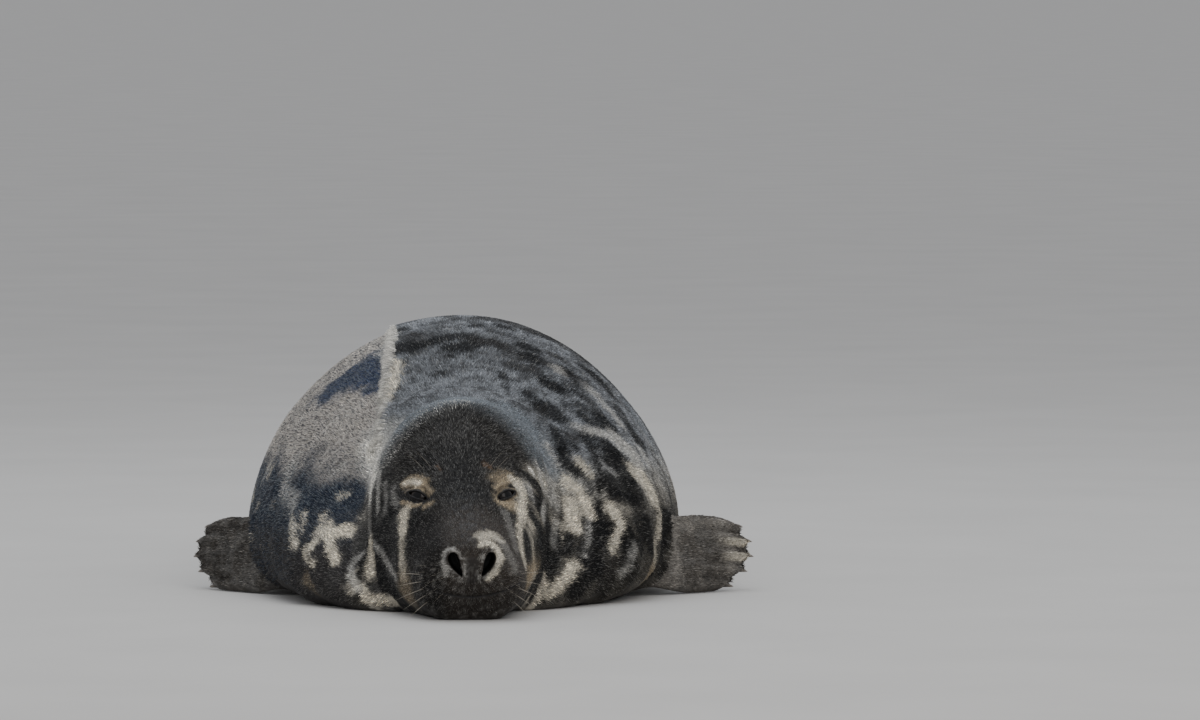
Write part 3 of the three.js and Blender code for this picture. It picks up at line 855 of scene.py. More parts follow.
# Strokes and patches on the straight body: colour, half width, how strongly it shows, then its points.
FACE_MARKS = (
    ("soot", 18.5, 0.85, (-105, 184, 145), (-105, 160, 117), (-102, 139, 93)),
    ("soot", 10, 0.8, (-118, 232, 154), (-120, 218, 135), (-119, 201, 116)),
    ("soot", 18.5, 0.85, (-115, 178, 58), (-110, 169, 47), (-103, 157, 40)),
    ("white", 20.5, 0.95, (-130, 411, 225), (-130, 385, 202), (-123, 290, 182)),
    ("silver", 29, 0.6, (-107, 408, 238), (-113, 400, 227), (-112, 320, 218)),
    ("silver", 8, 0.3, (-124, 282, 174), (-126, 265, 153), (-127, 244, 126), (-126, 218, 99)),
    ("silver", 6.5, 0.6, (-112, 264, 194), (-115, 236, 169), (-116, 210, 142)),
    ("silver", 5, 0.3, (-104, 220, 180), (-104, 192, 158), (-107, 181, 139)),
    ("cream", 12, 0.85, (-126, 217, 91), (-124, 207, 74), (-125, 202, 57)),
    ("silver", 6, 0.5, (-121, 199, 95), (-113, 169, 86), (-105, 144, 69), (-97, 115, 53)),
    ("buff", 9.5, 0.8, (-76, 173, 182), (-67, 168, 187), (-56, 152, 184)),
    ("buff", 4.5, 0.7, (-55, 150, 184), (-46, 132, 173)),
    ("cream", 5.5, 0.85, (-77, 175, 183), (-69, 168, 186), (-61, 157, 184)),
    ("buff", 4, 0.75, (-84, 155, 157), (-73, 137, 153), (-62, 128, 156)),
    ("buff", 5.5, 0.6, (-56, 116, 153), (-47, 113, 159)),
    ("silver", 5.5, 0.35, (-93, 192, 176), (-95, 180, 164), (-91, 161, 153)),
    ("cream", 10, 0.75, (-83, 140, 144), (-84, 130, 133), (-87, 120, 120)),
    ("cream", 8, 0.55, (-88, 117, 115), (-90, 107, 100), (-91, 98, 85)),
    ("cream", 10, 0.55, (-91, 94, 78), (-90, 89, 69), (-89, 86, 59)),
    ("buff", 22.5, 0.4, (-87, 84, 44), (-85, 86, 35), (-85, 96, 30)),
    ("silver", 3.5, 0.5, (-37, 6, 97), (-40, 4, 83), (-36, 4, 66)),
    ("silver", 3.5, 0.5, (-34, 7, 99), (-26, 5, 102)),
    ("cream", 10, 0.7, (16, 21, 117), (28, 31, 120), (38, 29, 114)),
    ("cream", 6.5, 0.95, (16, 8, 108), (25, 13, 110), (35, 9, 102), (38, 4, 89)),
    ("cream", 4.5, 0.9, (38, 4, 88), (33, 2, 71), (23, 3, 60)),
    ("silver", 10.5, 0.3, (46, 24, 106), (55, 16, 91), (61, 16, 75)),
    ("buff", 9.5, 0.5, (46, 151, 189), (56, 166, 195), (72, 182, 193), (78, 181, 186)),
    ("buff", 6, 0.85, (49, 140, 179), (61, 161, 187), (75, 174, 185)),
    ("cream", 11, 0.9, (79, 177, 183), (86, 182, 179), (89, 179, 171)),
    ("buff", 11.5, 0.85, (54, 123, 160), (62, 126, 155), (72, 137, 153)),
    ("cream", 11.5, 0.95, (90, 172, 164), (88, 155, 152), (85, 139, 140)),
    ("cream", 8.5, 0.75, (82, 126, 133), (78, 107, 123), (78, 87, 107)),
    ("cream", 10, 0.7, (78, 81, 101), (78, 66, 87), (82, 68, 76)),
    ("buff", 16, 0.75, (109, 157, 75), (100, 121, 62), (89, 89, 53)),
    ("silver", 8.5, 0.25, (58, 104, 144), (62, 88, 128), (65, 62, 109), (67, 42, 95)),
    ("white", 7, 0.95, (104, 245, 197), (107, 248, 192)),
    ("silver", 9, 0.6, (114, 284, 201), (119, 285, 191), (120, 275, 183)),
    ("silver", 13, 0.6, (100, 202, 173), (102, 197, 167)),
    ("silver", 11, 0.75, (121, 269, 176), (126, 277, 163), (131, 295, 152), (126, 251, 140), (122, 224, 131)),
    ("silver", 7.5, 0.6, (141, 290, 122), (139, 266, 105), (137, 250, 92)),
    ("silver", 8.5, 0.5, (133, 342, 176), (138, 331, 159), (139, 309, 143)),
    ("soot", 8, 0.8, (116, 247, 175), (119, 243, 160), (115, 210, 143)),
    ("soot", 14.5, 0.8, (101, 175, 147), (101, 167, 138)),
    ("soot", 24.5, 0.9, (115, 188, 115), (112, 170, 101), (109, 158, 90)),
    ("soot", 13.5, 0.8, (90, 113, 104), (87, 96, 93)),
    ("soot", 18, 0.85, (132, 280, 141), (131, 260, 124), (129, 226, 90), (132, 223, 78)),
    ("soot", 11, 0.85, (125, 201, 61), (131, 206, 54)),
    ("rust", 5, 0.4, (35, 177, 209), (40, 172, 204)),
    ("rust", 2.5, 0.25, (-33, 172, 207), (-28, 162, 202)),
    # strokes of painted sky sheen along the rim of the crown and nape
    ("rime", 16, 0.7, (60, 424, 278), (82, 416, 262), (107, 389, 231), (125, 374, 200), (130, 369, 189)),
    ("rime", 13.5, 0.55, (9, 328, 292), (-24, 316, 289), (-59, 309, 274), (-79, 301, 257)),
)

NECK_MARKS = (
    ("soot", 16.5, 0.85, (118, 487, 274), (129, 483, 267), (137, 475, 260)),
    ("soot", 11.5, 0.85, (132, 435, 243), (140, 428, 234), (141, 412, 220)),
    ("soot", 11, 0.9, (141, 404, 212), (150, 396, 199), (165, 391, 186)),
    ("soot", 8, 0.85, (159, 432, 225), (164, 419, 215)),
    ("soot", 12, 0.9, (180, 471, 235), (185, 452, 221), (192, 438, 208)),
    ("soot", 19.5, 0.92, (207, 473, 218), (216, 472, 212), (215, 454, 200)),
    ("soot", 8.5, 0.9, (192, 423, 199), (195, 402, 180), (198, 384, 160)),
    ("soot", 23, 0.92, (215, 407, 168), (234, 422, 160), (252, 443, 154)),
    ("soot", 13.5, 0.9, (218, 388, 149), (250, 423, 138)),
    ("soot", 20.5, 0.88, (229, 474, 199), (233, 461, 189), (237, 452, 180)),
    ("soot", 20, 0.85, (247, 599, 237), (253, 594, 228), (258, 589, 220)),
    ("soot", 15.5, 0.85, (206, 690, 298), (213, 676, 291), (221, 669, 282)),
    ("soot", 13.5, 0.85, (194, 705, 310), (199, 705, 306)),
    ("soot", 13.5, 0.85, (178, 702, 322), (184, 691, 315)),
    ("soot", 16, 0.9, (152, 619, 320), (154, 620, 319)),
    ("soot", 14.5, 0.85, (123, 548, 304), (131, 546, 300), (139, 547, 298)),
    ("soot", 10.5, 0.6, (148, 565, 301), (156, 569, 299), (167, 590, 301)),
    ("soot", 9.5, 0.8, (162, 564, 293), (170, 562, 287)),
    ("soot", 15.5, 0.85, (173, 507, 261), (181, 502, 253), (191, 505, 248)),
    ("soot", 17.5, 0.9, (203, 535, 254), (208, 530, 247), (216, 527, 240)),
    ("soot", 10.5, 0.6, (149, 514, 278), (161, 523, 275), (173, 532, 273)),
    ("soot", 9, 0.85, (90, 501, 292), (97, 496, 287), (106, 492, 281)),
    ("soot", 9, 0.6, (227, 639, 269), (234, 633, 261)),
    ("soot", 9, 0.6, (279, 623, 199), (290, 633, 179)),
    ("soot", 9, 0.7, (296, 644, 169), (302, 627, 151), (304, 603, 133)),
    ("charcoal", 16, 0.6, (266, 436, 128), (271, 436, 118)),
    ("soot", 13.5, 0.97, (210, 343, 109), (215, 337, 99), (206, 311, 83)),
    ("soot", 15.5, 0.9, (236, 360, 107), (240, 352, 89), (243, 341, 70)),
    ("soot", 20, 0.85, (297, 523, 110), (293, 486, 94), (290, 470, 74)),
    ("soot", 9.5, 0.8, (290, 477, 40), (286, 473, 23)),
    ("soot", 18, 0.9, (192, 345, 124), (192, 297, 85), (184, 262, 52), (167, 237, 27)),
    ("soot", 12, 0.85, (157, 281, 97), (153, 260, 82)),
    ("charcoal", 24.5, 0.9, (209, 294, 39), (205, 293, 27)),
    ("charcoal", 19.5, 0.85, (238, 332, 50), (247, 349, 37)),
    ("soot", 13.5, 0.85, (264, 417, 111), (267, 409, 92), (270, 406, 74)),
    ("soot", 4.5, 0.8, (135, 388, 202), (143, 368, 177), (149, 339, 150), (147, 299, 121)),
    ("soot", 3.5, 0.7, (159, 345, 147), (163, 326, 128)),
    ("soot", 11, 0.8, (-91, 726, 370), (-85, 719, 372)),
    ("soot", 24.5, 0.9, (-98, 620, 346), (-89, 626, 351), (-75, 617, 353)),
    ("soot", 14, 0.75, (-62, 614, 356), (-53, 617, 358)),
    ("soot", 15.5, 0.9, (-40, 626, 363), (-23, 638, 368), (-4, 644, 370), (9, 645, 369)),
    ("soot", 16.5, 0.9, (-17, 602, 356), (-1, 604, 358), (16, 618, 360)),
    ("soot", 7, 0.65, (-18, 576, 344), (-13, 574, 343)),
    ("soot", 8, 0.75, (7, 573, 343), (10, 574, 343)),
    ("soot", 10.5, 0.85, (-38, 524, 320), (-32, 526, 321)),
    ("charcoal", 13, 0.6, (-21, 546, 330), (-12, 541, 329)),
    ("soot", 11, 0.8, (17, 706, 383), (22, 712, 383)),
    ("soot", 13.5, 0.9, (58, 736, 382), (65, 727, 379)),
    ("soot", 11, 0.5, (66, 694, 372), (68, 686, 370)),
    ("soot", 11, 0.8, (112, 763, 367), (122, 764, 363)),
    ("soot", 20, 0.85, (90, 650, 355), (98, 650, 352)),
    ("soot", 20.5, 0.88, (95, 609, 341), (105, 609, 338)),
    ("charcoal", 13, 0.7, (66, 568, 331), (83, 572, 328), (107, 572, 321)),
    ("soot", 8, 0.8, (55, 539, 321), (61, 526, 315)),
    ("soot", 7, 0.8, (59, 504, 303), (63, 503, 302)),
    ("soot", 12.5, 0.85, (120, 558, 310), (130, 551, 303), (137, 551, 300)),
    ("charcoal", 14.5, 0.7, (89, 460, 279), (100, 462, 274), (110, 476, 273)),
    ("soot", 6.5, 0.7, (-22, 488, 305), (-11, 467, 303)),
    ("charcoal", 9, 0.6, (-30, 760, 392), (-11, 751, 392)),
    ("charcoal", 9, 0.5, (18, 763, 392), (23, 767, 391)),
    ("charcoal", 9, 0.5, (-29, 702, 382), (-8, 692, 382)),
    ("charcoal", 13.5, 0.6, (133, 670, 342), (139, 673, 339)),
    ("charcoal", 15.5, 0.55, (127, 611, 329), (135, 611, 326)),
    ("charcoal", 13.5, 0.5, (-70, 676, 370), (-62, 668, 371)),
    ("charcoal", 13, 0.45, (45, 633, 362), (55, 628, 358)),
    ("charcoal", 10, 0.5, (-81, 542, 323), (-69, 551, 328)),
    ("silver", 5, 0.7, (119, 404, 228), (130, 392, 209), (141, 381, 191), (148, 372, 178)),
    ("cream", 9.5, 0.95, (150, 373, 177), (160, 372, 168), (171, 363, 153), (178, 354, 139), (186, 343, 126)),
    ("cream", 12.5, 0.9, (156, 347, 149), (161, 327, 131), (164, 303, 111)),
    ("cream", 6, 0.8, (163, 408, 204), (175, 400, 190), (182, 393, 177)),
    ("cream", 8.5, 0.9, (211, 369, 136), (219, 364, 124), (228, 359, 114)),
    ("cream", 6, 0.85, (230, 361, 114), (224, 343, 97), (217, 316, 77)),
    ("cream", 16.5, 0.8, (248, 476, 181), (258, 492, 175), (270, 492, 157), (277, 487, 142)),
    ("silver", 17.5, 0.8, (223, 513, 227), (231, 510, 218), (246, 518, 206), (253, 513, 195)),
    ("silver", 9.5, 0.8, (186, 484, 238), (202, 498, 236), (212, 502, 230)),
    ("cream", 9, 0.6, (287, 493, 123), (285, 465, 99), (280, 426, 77), (277, 428, 52)),
    ("buff", 20, 0.6, (270, 418, 34), (271, 418, 34)),
    ("cream", 10.5, 0.85, (167, 252, 61), (155, 229, 46), (139, 208, 32)),
    ("cream", 7, 0.75, (139, 208, 32), (124, 198, 20)),
    ("silver", 5, 0.6, (184, 333, 119), (183, 297, 92), (178, 272, 73)),
    ("silver", 7, 0.45, (250, 355, 80), (244, 339, 61), (231, 320, 43)),
    ("silver", 9.5, 0.5, (164, 476, 247), (169, 476, 245)),
    ("silver", 13.5, 0.55, (184, 608, 296), (193, 606, 289)),
    # strokes of painted sky sheen down the upper edge of the seal's left flank
    ("rime", 11.5, 0.45, (242, 717, 266), (263, 692, 236)),
    ("rime", 11.5, 0.45, (268, 687, 228), (290, 667, 188), (305, 672, 153)),
    ("cream", 13.5, 0.97, (-198, 329, 108), (-180, 306, 102)),
    ("cream", 8, 0.97, (-197, 348, 123), (-187, 324, 112)),
    ("cream", 13, 0.97, (-165, 301, 109), (-157, 294, 107)),
    ("cream", 9.5, 0.95, (-177, 307, 105), (-170, 302, 106)),
    ("cream", 7.5, 0.97, (-183, 292, 88), (-179, 277, 76), (-173, 261, 66)),
    ("cream", 7, 0.95, (-252, 402, 124), (-246, 376, 112), (-240, 360, 102)),
    ("cream", 8, 0.95, (-241, 355, 95), (-236, 342, 84)),
    ("cream", 5, 0.85, (-229, 372, 127), (-226, 361, 118), (-228, 351, 104)),
    ("cream", 8.5, 0.85, (-218, 321, 80), (-209, 314, 84), (-207, 317, 88)),
    ("cream", 5, 0.75, (-222, 316, 71), (-213, 299, 65), (-205, 286, 60)),
    ("cream", 7.5, 0.95, (-174, 363, 151), (-168, 364, 155)),
    ("silver", 5, 0.7, (-186, 397, 181), (-177, 402, 191), (-169, 405, 197)),
    ("silver", 13.5, 0.65, (-251, 495, 188), (-252, 488, 182), (-259, 478, 165), (-259, 457, 154),
     (-250, 428, 145), (-246, 411, 138)),
    ("silver", 11.5, 0.5, (-291, 616, 173), (-296, 624, 165)),
    ("buff", 11, 0.3, (-216, 301, 37), (-209, 290, 28)),
    ("silver", 6.5, 0.6, (-138, 239, 79), (-147, 242, 69), (-151, 228, 50), (-143, 211, 32), (-132, 203, 21)),
    ("cream", 9.5, 0.9, (-132, 203, 21), (-115, 192, 17), (-98, 177, 15)),
    ("silver", 18, 0.85, (-109, 706, 358), (-111, 654, 347)),
    ("cream", 10, 0.85, (-97, 573, 333), (-100, 535, 317), (-106, 511, 299), (-114, 493, 282)),
    ("silver", 9, 0.8, (-115, 489, 279), (-123, 470, 262), (-130, 426, 239)),
    ("silver", 13.5, 0.6, (205, 593, 276), (218, 590, 263), (229, 574, 248)),
    ("silver", 13.5, 0.6, (261, 565, 207), (267, 557, 197)),
    ("silver", 12, 0.55, (140, 604, 320), (138, 611, 324)),
    ("charcoal", 17, 0.7, (26, 634, 365), (42, 629, 361), (55, 624, 357)),
    ("charcoal", 18, 0.6, (67, 603, 347), (73, 599, 344)),
    ("charcoal", 18, 0.6, (-81, 666, 363), (-63, 646, 365)),
    ("charcoal", 18, 0.55, (163, 612, 312), (170, 615, 308)),
    ("charcoal", 15, 0.6, (183, 565, 281), (191, 554, 272)),
    ("charcoal", 18, 0.6, (227, 620, 264), (236, 614, 253)),
    ("charcoal", 15.5, 0.6, (153, 453, 241), (160, 450, 236)),
    ("soot", 7, 0.8, (176, 388, 176), (184, 373, 157)),
    ("soot", 5.5, 0.8, (179, 294, 93), (175, 274, 77)),
    ("soot", 12.5, 0.8, (255, 411, 124), (251, 387, 112)),
    ("charcoal", 7, 0.6, (220, 309, 60), (233, 325, 62)),
    ("soot", 5, 0.7, (-143, 230, 63), (-139, 220, 56)),
    ("white", 8.5, 0.9, (-128, 413, 228), (-130, 394, 209), (-130, 371, 190)),
    ("charcoal", 6, 0.6, (225, 315, 63), (257, 372, 50)),
    ("soot", 10, 0.8, (38, 688, 376), (43, 685, 375)),
    ("soot", 8, 0.75, (-13, 586, 348), (7, 591, 350)),
    ("soot", 7, 0.9, (198, 383, 159), (195, 357, 132)),
    ("soot", 9.5, 0.9, (203, 290, 68), (198, 276, 45)),
    ("soot", 15.5, 0.85, (257, 384, 95), (259, 373, 76)),
)

# The white edge where the neck lies over the sandy flank.
COLLAR_UPPER = ((-130, 411, 225), (-131, 387, 202), (-128, 300, 190), (-126, 265, 153))
COLLAR_LOWER = ((-127, 244, 126), (-126, 219, 100), (-124, 207, 74))
COLLAR_EDGE = COLLAR_UPPER + COLLAR_LOWER

# Strokes wider than this get no more ragged, in millimetres of half width.
MOST_RAGGED = 11


def blend(under, over, share):
    return under + (over - under) * np.asarray(share)[:, None]


def painted(colour, *layers):
    """Lays named colours over one another, each as strongly as its share."""
    for name, share in layers:
        colour = blend(colour, COLOURS[name], share)
    return colour


def opaque(colour):
    return np.concatenate([colour, np.ones((len(colour), 1))], 1)


def from_line(p, points):
    """The distance from a line through the given points."""
    line = np.array(points, float)
    near = np.full(len(p), 1e9)
    for a, b in zip(line[:-1], line[1:]):
        t = np.clip(((p - a) @ (b - a)) / max(((b - a) ** 2).sum(), 1e-6), 0, 1)
        near = np.minimum(near, np.linalg.norm(p - a - t[:, None] * (b - a), axis=1))
    return near


def marked(colour, p, marks, grain, soft):
    """Paints strokes with ragged edges over a colour: grain is the raggedness, soft the blur of the edge."""
    ragged = 0.8 * mottle(p, grain, 71, 3) + 0.8 * mottle(p, np.array(grain) / 3, 72, 2)
    for name, half, strength, *points in marks:
        reach = np.ptp(np.array(points), 0) / 2 + 2.5 * half
        near = (np.abs(p - np.mean(points, 0)) < reach).all(1)
        away = from_line(p[near], points) + 0.5 * min(half, MOST_RAGGED) * ragged[near]
        share = strength * faded(away, (1 - soft) * half, (1 + soft) * half)
        colour[near] = blend(colour[near], COLOURS[name], share)
    return colour


def head_colour(p):
    x, y, z = p.T
    dark = smooth(mottle(p, 40, 7, 2), -0.5, 0.5) * faded(z, 215, 260)
    cheek = smooth(-x, 22, 50) * faded(y, 150, 210) * faded(z, 125, 165)
    muzzle = faded(y, 60, 120)
    bridge = bell(x, 30) * faded(y, 60, 190) * smooth(z, 90, 120)
    pad = muzzle * faded(z, 70, 95) * smooth(mottle(p, 4.0, 8, 3), 0.05, 0.5)
    wing = sum(np.exp(-((nostril_view(p, side)[2] - 5) ** 2) / 20) for side in (-1, 1)) * (y < 45)
    ring = np.stack([np.hypot(x, z - 70), np.arctan2(np.abs(x), z - 70) * 100, 0.35 * y], 1)
    streak = smooth(mottle(ring, (8, 50, 60), 12, 3), -0.12, 0.3)
    beside = smooth(np.abs(x), 80, 100) * smooth(y, 100, 140) * faded(z, 175, 215)
    chin = faded(z, 0, 26) * smooth(mottle(p, (7, 12, 7), 15, 3), 0.0, 0.5)
    return painted(
        np.tile(COLOURS["charcoal"], (len(p), 1)),
        ("ash", 0.5 * smooth(mottle(p, 3.0, 5, 2), 0.0, 0.8)),
        ("soot", 0.5 * dark),
        ("soot", 0.88 * cheek),
        ("brown", 0.4 * muzzle * (1 - 0.7 * cheek)),
        ("slate", 0.34 * bridge * smooth(mottle(p, 4, 6, 2), -0.3, 0.6)),
        ("silver", 0.17 * pad),
        ("silver", 0.45 * wing * smooth(mottle(p, 3.5, 9, 2), -0.2, 0.4)),
        ("cream", 0.7 * streak * beside * (x > 0)),
        ("silver", 0.14 * streak * beside * (x <= 0)),
        ("soot", 0.6 * (1 - streak) * beside),
        ("silver", 0.2 * chin),
        ("soot", 0.4 * faded(z, 30, 75) * faded(y, 60, 150)),
        ("ash", 0.5 * (x < -40) * smooth(y, 210, 280) * faded(z, 150, 260)),
        # painted sky sheen: a pale bluish band over the nape and the top of the crown
        ("rime", 0.65 * (smooth(y + 0.4 * np.abs(x), 285, 355) * smooth(z, 150, 230))),
    )


def body_colour(p):
    """Dark blotches run together on a pale ground, closest together low on the sides."""
    x, y, z = p.T
    low = faded(z + 22 * mottle(p, 60, 33, 2), 90, 230)
    fleck = mottle(p, (5, 9, 5), 34, 2)
    shape = mottle(p, (19, 26, 17), 35, 3) + 0.24 * mottle(p, (9, 12, 8), 36, 2) + 0.12 * fleck
    start = 0.12 * smooth(y, 900, 1300) - 0.4 * faded(z, 90, 200)
    blotch = smooth(shape, start - 0.1, start + 0.14)
    drawn = smooth(x, -130, -95) * faded(y, 660, 820)
    speck = smooth(mottle(p, (9, 14, 8), 38, 3), 0.05, 0.4)
    shade = smooth(z, 250, 350) * smooth(y, 480, 640) * smooth(mottle(p, (70, 60, 70), 37, 2), -0.6, 0.4)
    ground = painted(np.tile(COLOURS["grey"], (len(p), 1)), ("cream", 0.8 * low))
    return painted(
        ground * (1 + 0.22 * fleck)[:, None],
        ("soot", 0.9 * blotch * (1 - 0.75 * drawn)),
        ("charcoal", 0.6 * drawn * speck),
        ("charcoal", 0.85 * drawn * faded(z, 105, 170)),
        ("charcoal", 0.8 * shade * (1 - 0.55 * drawn)),
        ("cream", 0.25 * faded(z, 0, 45) * smooth(y, 500, 700)),
    )


def sand_cover(p):
    """How thickly dried sand covers the fur of the flank, from the back down to a ragged edge."""
    return smooth(p[:, 2] + 26 * mottle(p, 40, 43, 3), 168, 222) * (1 - 0.6 * smooth(p[:, 1], 1000, 1400))


def wet_patch(p):
    """The wet, bluish patch high on the right shoulder."""
    line = from_line(p, ((-112, 560, 322), (-125, 640, 345), (-160, 610, 310), (-182, 612, 297)))
    return faded(line + 26 * mottle(p, 20, 44, 3), 28, 60)


def flank_colour(p):
    """The right flank: sand dried on above, dark wet fur and pale patches below."""
    _, y, z = p.T
    low = faded(z + 18 * mottle(p, 40, 46, 2), 70, 130)
    patch = smooth(mottle(p, (34, 52, 26), 41, 3), 0.3, 0.55) * smooth(y, 420, 560)
    return painted(
        np.tile(COLOURS["navy"], (len(p), 1)),
        ("flipper", 0.8 * low),
        ("cream", 0.7 * patch * faded(z, 150, 235)),
        ("ash", 0.2 * smooth(mottle(p, (20, 30, 20), 45, 3), 0.0, 0.7)),
        ("sand", 0.85 * sand_cover(p)),
        ("wet", 0.94 * wet_patch(p)),
    )


def flipper_colour(posed_p, part):
    """Dark fur with paler folds on the upper side, and pale digits towards the tips in front."""
    t, share, through = limb_view(posed_p, LIMBS["fore_left"])
    top = (part == 1) * smooth(through, -6, 8)
    fold = smooth(mottle(np.stack([t * 60, share * 6, 0 * t], 1), (5, 9, 9), 54, 2), -0.5, 0.5)
    digit = smooth(np.cos(np.pi * DIGITS * (share + 1) / 0.93 + np.pi), -0.3, 0.6)
    tip = smooth(t, 0.74, 0.9) * digit * smooth(share, -0.4, -0.25) * faded(share, 0.45, 0.6)
    outer = smooth(share + 0.2 * mottle(posed_p, 9, 56, 2), 0.45, 0.8)
    return painted(
        np.tile(COLOURS["flipper"], (len(posed_p), 1)),
        ("ash", 0.6 * smooth(mottle(posed_p, 16, 51, 3), -0.3, 0.6)),
        ("knuckle", 0.07 + 0.4 * smooth(mottle(posed_p, 3.5, 52, 2), 0.1, 0.9)),
        ("knuckle", (0.15 + 0.5 * fold) * top),
        ("soot", 0.35 * smooth(mottle(posed_p, (7, 7, 24), 55, 2), 0.1, 0.8)),
        ("knuckle", 0.5 * top * outer),
        ("cream", 0.75 * (part == 1) * tip),
    )


def sandy(straight):
    """How strongly each place has the right flank's own colours: dark and flecked, with sand above."""
    x, y, z = straight.T
    past = past_fold(x, z) + 5 * mottle(straight, 30, 61, 2)
    behind = smooth(y + 0.5 * z, 360, 400) * faded(past, -6, 4)
    beside = faded(x, -150, -134) * smooth(y, 205, 240)
    return np.maximum(behind, beside) * faded(y + 40 * mottle(straight, 90, 63, 2), 1100, 1500)


def markings(straight, posed_p, part):
    """The colour of the fur at each place: the same for the skin and for the tufts on it."""
    x, y, z = straight.T
    colour = blend(body_colour(straight), flank_colour(straight), sandy(straight))
    head = faded(y - 0.35 * (z - 100) + 10 * mottle(straight, 30, 62, 2), 268, 318)
    head = head * ((tube(HEAD_FORM, x, y, z) < 16) | (y < 30))
    colour = blend(colour, head_colour(straight), head)
    # painted sky sheen across the top of the nape
    nape = smooth(y, 300, 350) * faded(y, 390, 450) * smooth(z, 200, 245) * (np.abs(x) < 140)
    colour = painted(colour, ("rime", 0.6 * nape))
    colour = marked(colour, straight, FACE_MARKS, 6, 0.65)
    for name, eye in EYES.items():
        a, b, c, away = eye_view(straight, eye)
        above = smooth(b, -4, 2) if name == "right" else 1.0
        facing = np.abs(c) < EYE_REACH
        ring = faded(away + 2.2 * mottle(straight, 4, 64, 2), 5, 9) * facing
        lid = faded(away + 1.2 * mottle(straight, 4, 67, 2), 2.8, 5.2) * facing
        corner = from_line(np.stack([a, b], 1), ((-15, 0), (-24, -3))) + 2 * mottle(straight, 4, 65, 2)
        tear = faded(corner, 1.5, 5) * facing
        colour = painted(colour, ("buff", 0.6 * ring * above), ("lid", 0.9 * lid), ("soot", 0.8 * tear))
    colour = marked(colour, straight, NECK_MARKS, (10, 13, 10), 0.35)
    return blend(colour, flipper_colour(posed_p, part), 1.0 * (part > 0))


def bareness(p):
    """How bare the skin is: on the nose pad, in the nostrils, on the lids' rims and along the lips."""
    x, y, z = p.T
    above, shown = mouth_view(p)
    bare = faded(np.abs(above), 0.6, 1.8) * shown
    for name, side in SIDES.items():
        _, _, c, away = eye_view(p, EYES[name])
        bare = np.maximum(bare, faded(away, 1.4, 3.2) * (np.abs(c) < EYE_REACH))
        _, _, rim = nostril_view(p, side)
        bare = np.maximum(bare, faded(rim, 0.0, 1.6) * (y < 60))
    pad = bell(x, 12) * smooth(z, 44, 58) * faded(z, 84, 96) * (y < 30)
    return np.maximum(bare, 0.5 * smooth(pad, 0.3, 0.8))


def finish_skin(skin):
    """Gives the skin its colours, and brings it from millimetres to its place in the frame."""
    p = coordinates(skin.data)
    straight = straightened(p)
    part = part_of(p)
    colour = markings(straight, p, part)
    bare = bareness(straight) * (part == 0)
    colour = blend(colour * 0.72, COLOURS["lid"], 0.92 * bare)
    # the dark bare skin inside the nostrils is darkened almost to black again, as painted shade deep in the
    # pits
    for side in SIDES.values():
        pit = smooth(-nostril_view(straight, side)[2], -1.0, 2.0) * (straight[:, 1] < 70) * (part == 0)
        colour = colour * (1 - 0.95 * pit)[:, None]
        bare = bare * (1 - pit)
    keep_attribute(skin.data, "marking", "FLOAT_COLOR", opaque(colour))
    keep_attribute(skin.data, "bare", "FLOAT", bare)
    set_coordinates(skin.data, placed(p))


# ---------------------------------------------------------------- roots of the coat
def along_body(straight):
    """The place along the body of the leaning ring that each point belongs to."""
    s = straight[:, 1].copy()
    for _ in range(8):
        s = straight[:, 1] - section_lean(s) * (straight[:, 2] - 100)
    return s


def lie_of_coat(straight):
    """The way the fur lies on the straight body: back from the nose, then backwards and a little down."""
    x, y, z = straight.T
    from_nose = unit(np.stack([x, y + 12, z - 78], 1))
    side = np.sign(x) * smooth(np.abs(x), 0, 60)
    backwards = unit(np.stack([0.22 * side, np.ones(len(x)), -0.28 * np.ones(len(x))], 1))
    lie = blend(from_nose, backwards, smooth(y, 70, 260))
    return lie + 0.16 * np.stack([mottle(straight, 40, 81, 2), 0 * x, mottle(straight, 40, 82, 2)], 1)


def posed_direction(straight, way):
    return unit(posed(straight + 0.5 * unit(way)) - posed(straight))


class Pelt:
    """The skin as triangles, with what each place of it needs for its fur."""

    def __init__(self, mesh):
        mesh.calc_loop_triangles()
        corners = np.empty(len(mesh.loop_triangles) * 3, np.int32)
        mesh.loop_triangles.foreach_get("vertices", corners)
        self.corners = corners.reshape(-1, 3)
        self.points = coordinates(mesh)
        self.normals = normals(mesh)
        a, b, c = (self.points[self.corners[:, i]] for i in range(3))
        self.area = np.linalg.norm(np.cross(b - a, c - a), axis=1) / 2
        self.middle = (a + b + c) / 3
        self.straight = straightened(self.middle)
        self.part = part_of(self.middle)
        self.place = along_body(self.straight)
        self.facing = unit(self.normals[self.corners].mean(1))
        self.furred = self.fur_cover()

    def fur_cover(self):
        """How thickly each triangle is furred: none on bare skin or where the animal lies on its belly."""
        cover = np.ones(len(self.area))
        cover[bareness(self.straight) > 0.45] = 0
        cover[self.middle[:, 2] < BARE_BELOW] = 0
        cover[(self.facing[:, 2] < -0.55) & (self.middle[:, 2] < 40)] = 0
        for eye in EYES.values():
            _, _, c, away = eye_view(self.straight, eye)
            cover[(away < 1.6) & (np.abs(c) < EYE_REACH)] = 0
        return cover

    def roots(self, weight, count, seed):
        """Places spread evenly over the triangles by area and weight."""
        chance = np.random.default_rng(seed)
        heap = np.cumsum(self.area * weight)
        pick = np.searchsorted(heap, (np.arange(count) + chance.random(count)) / count * heap[-1])
        pick = np.minimum(pick, len(heap) - 1)
        u, v = chance.random(count), chance.random(count)
        over = u + v > 1
        u[over], v[over] = 1 - u[over], 1 - v[over]
        share = np.stack([1 - u - v, u, v], 1)[:, :, None]
        corner = self.corners[pick]
        return pick, (self.points[corner] * share).sum(1), unit((self.normals[corner] * share).sum(1)), chance


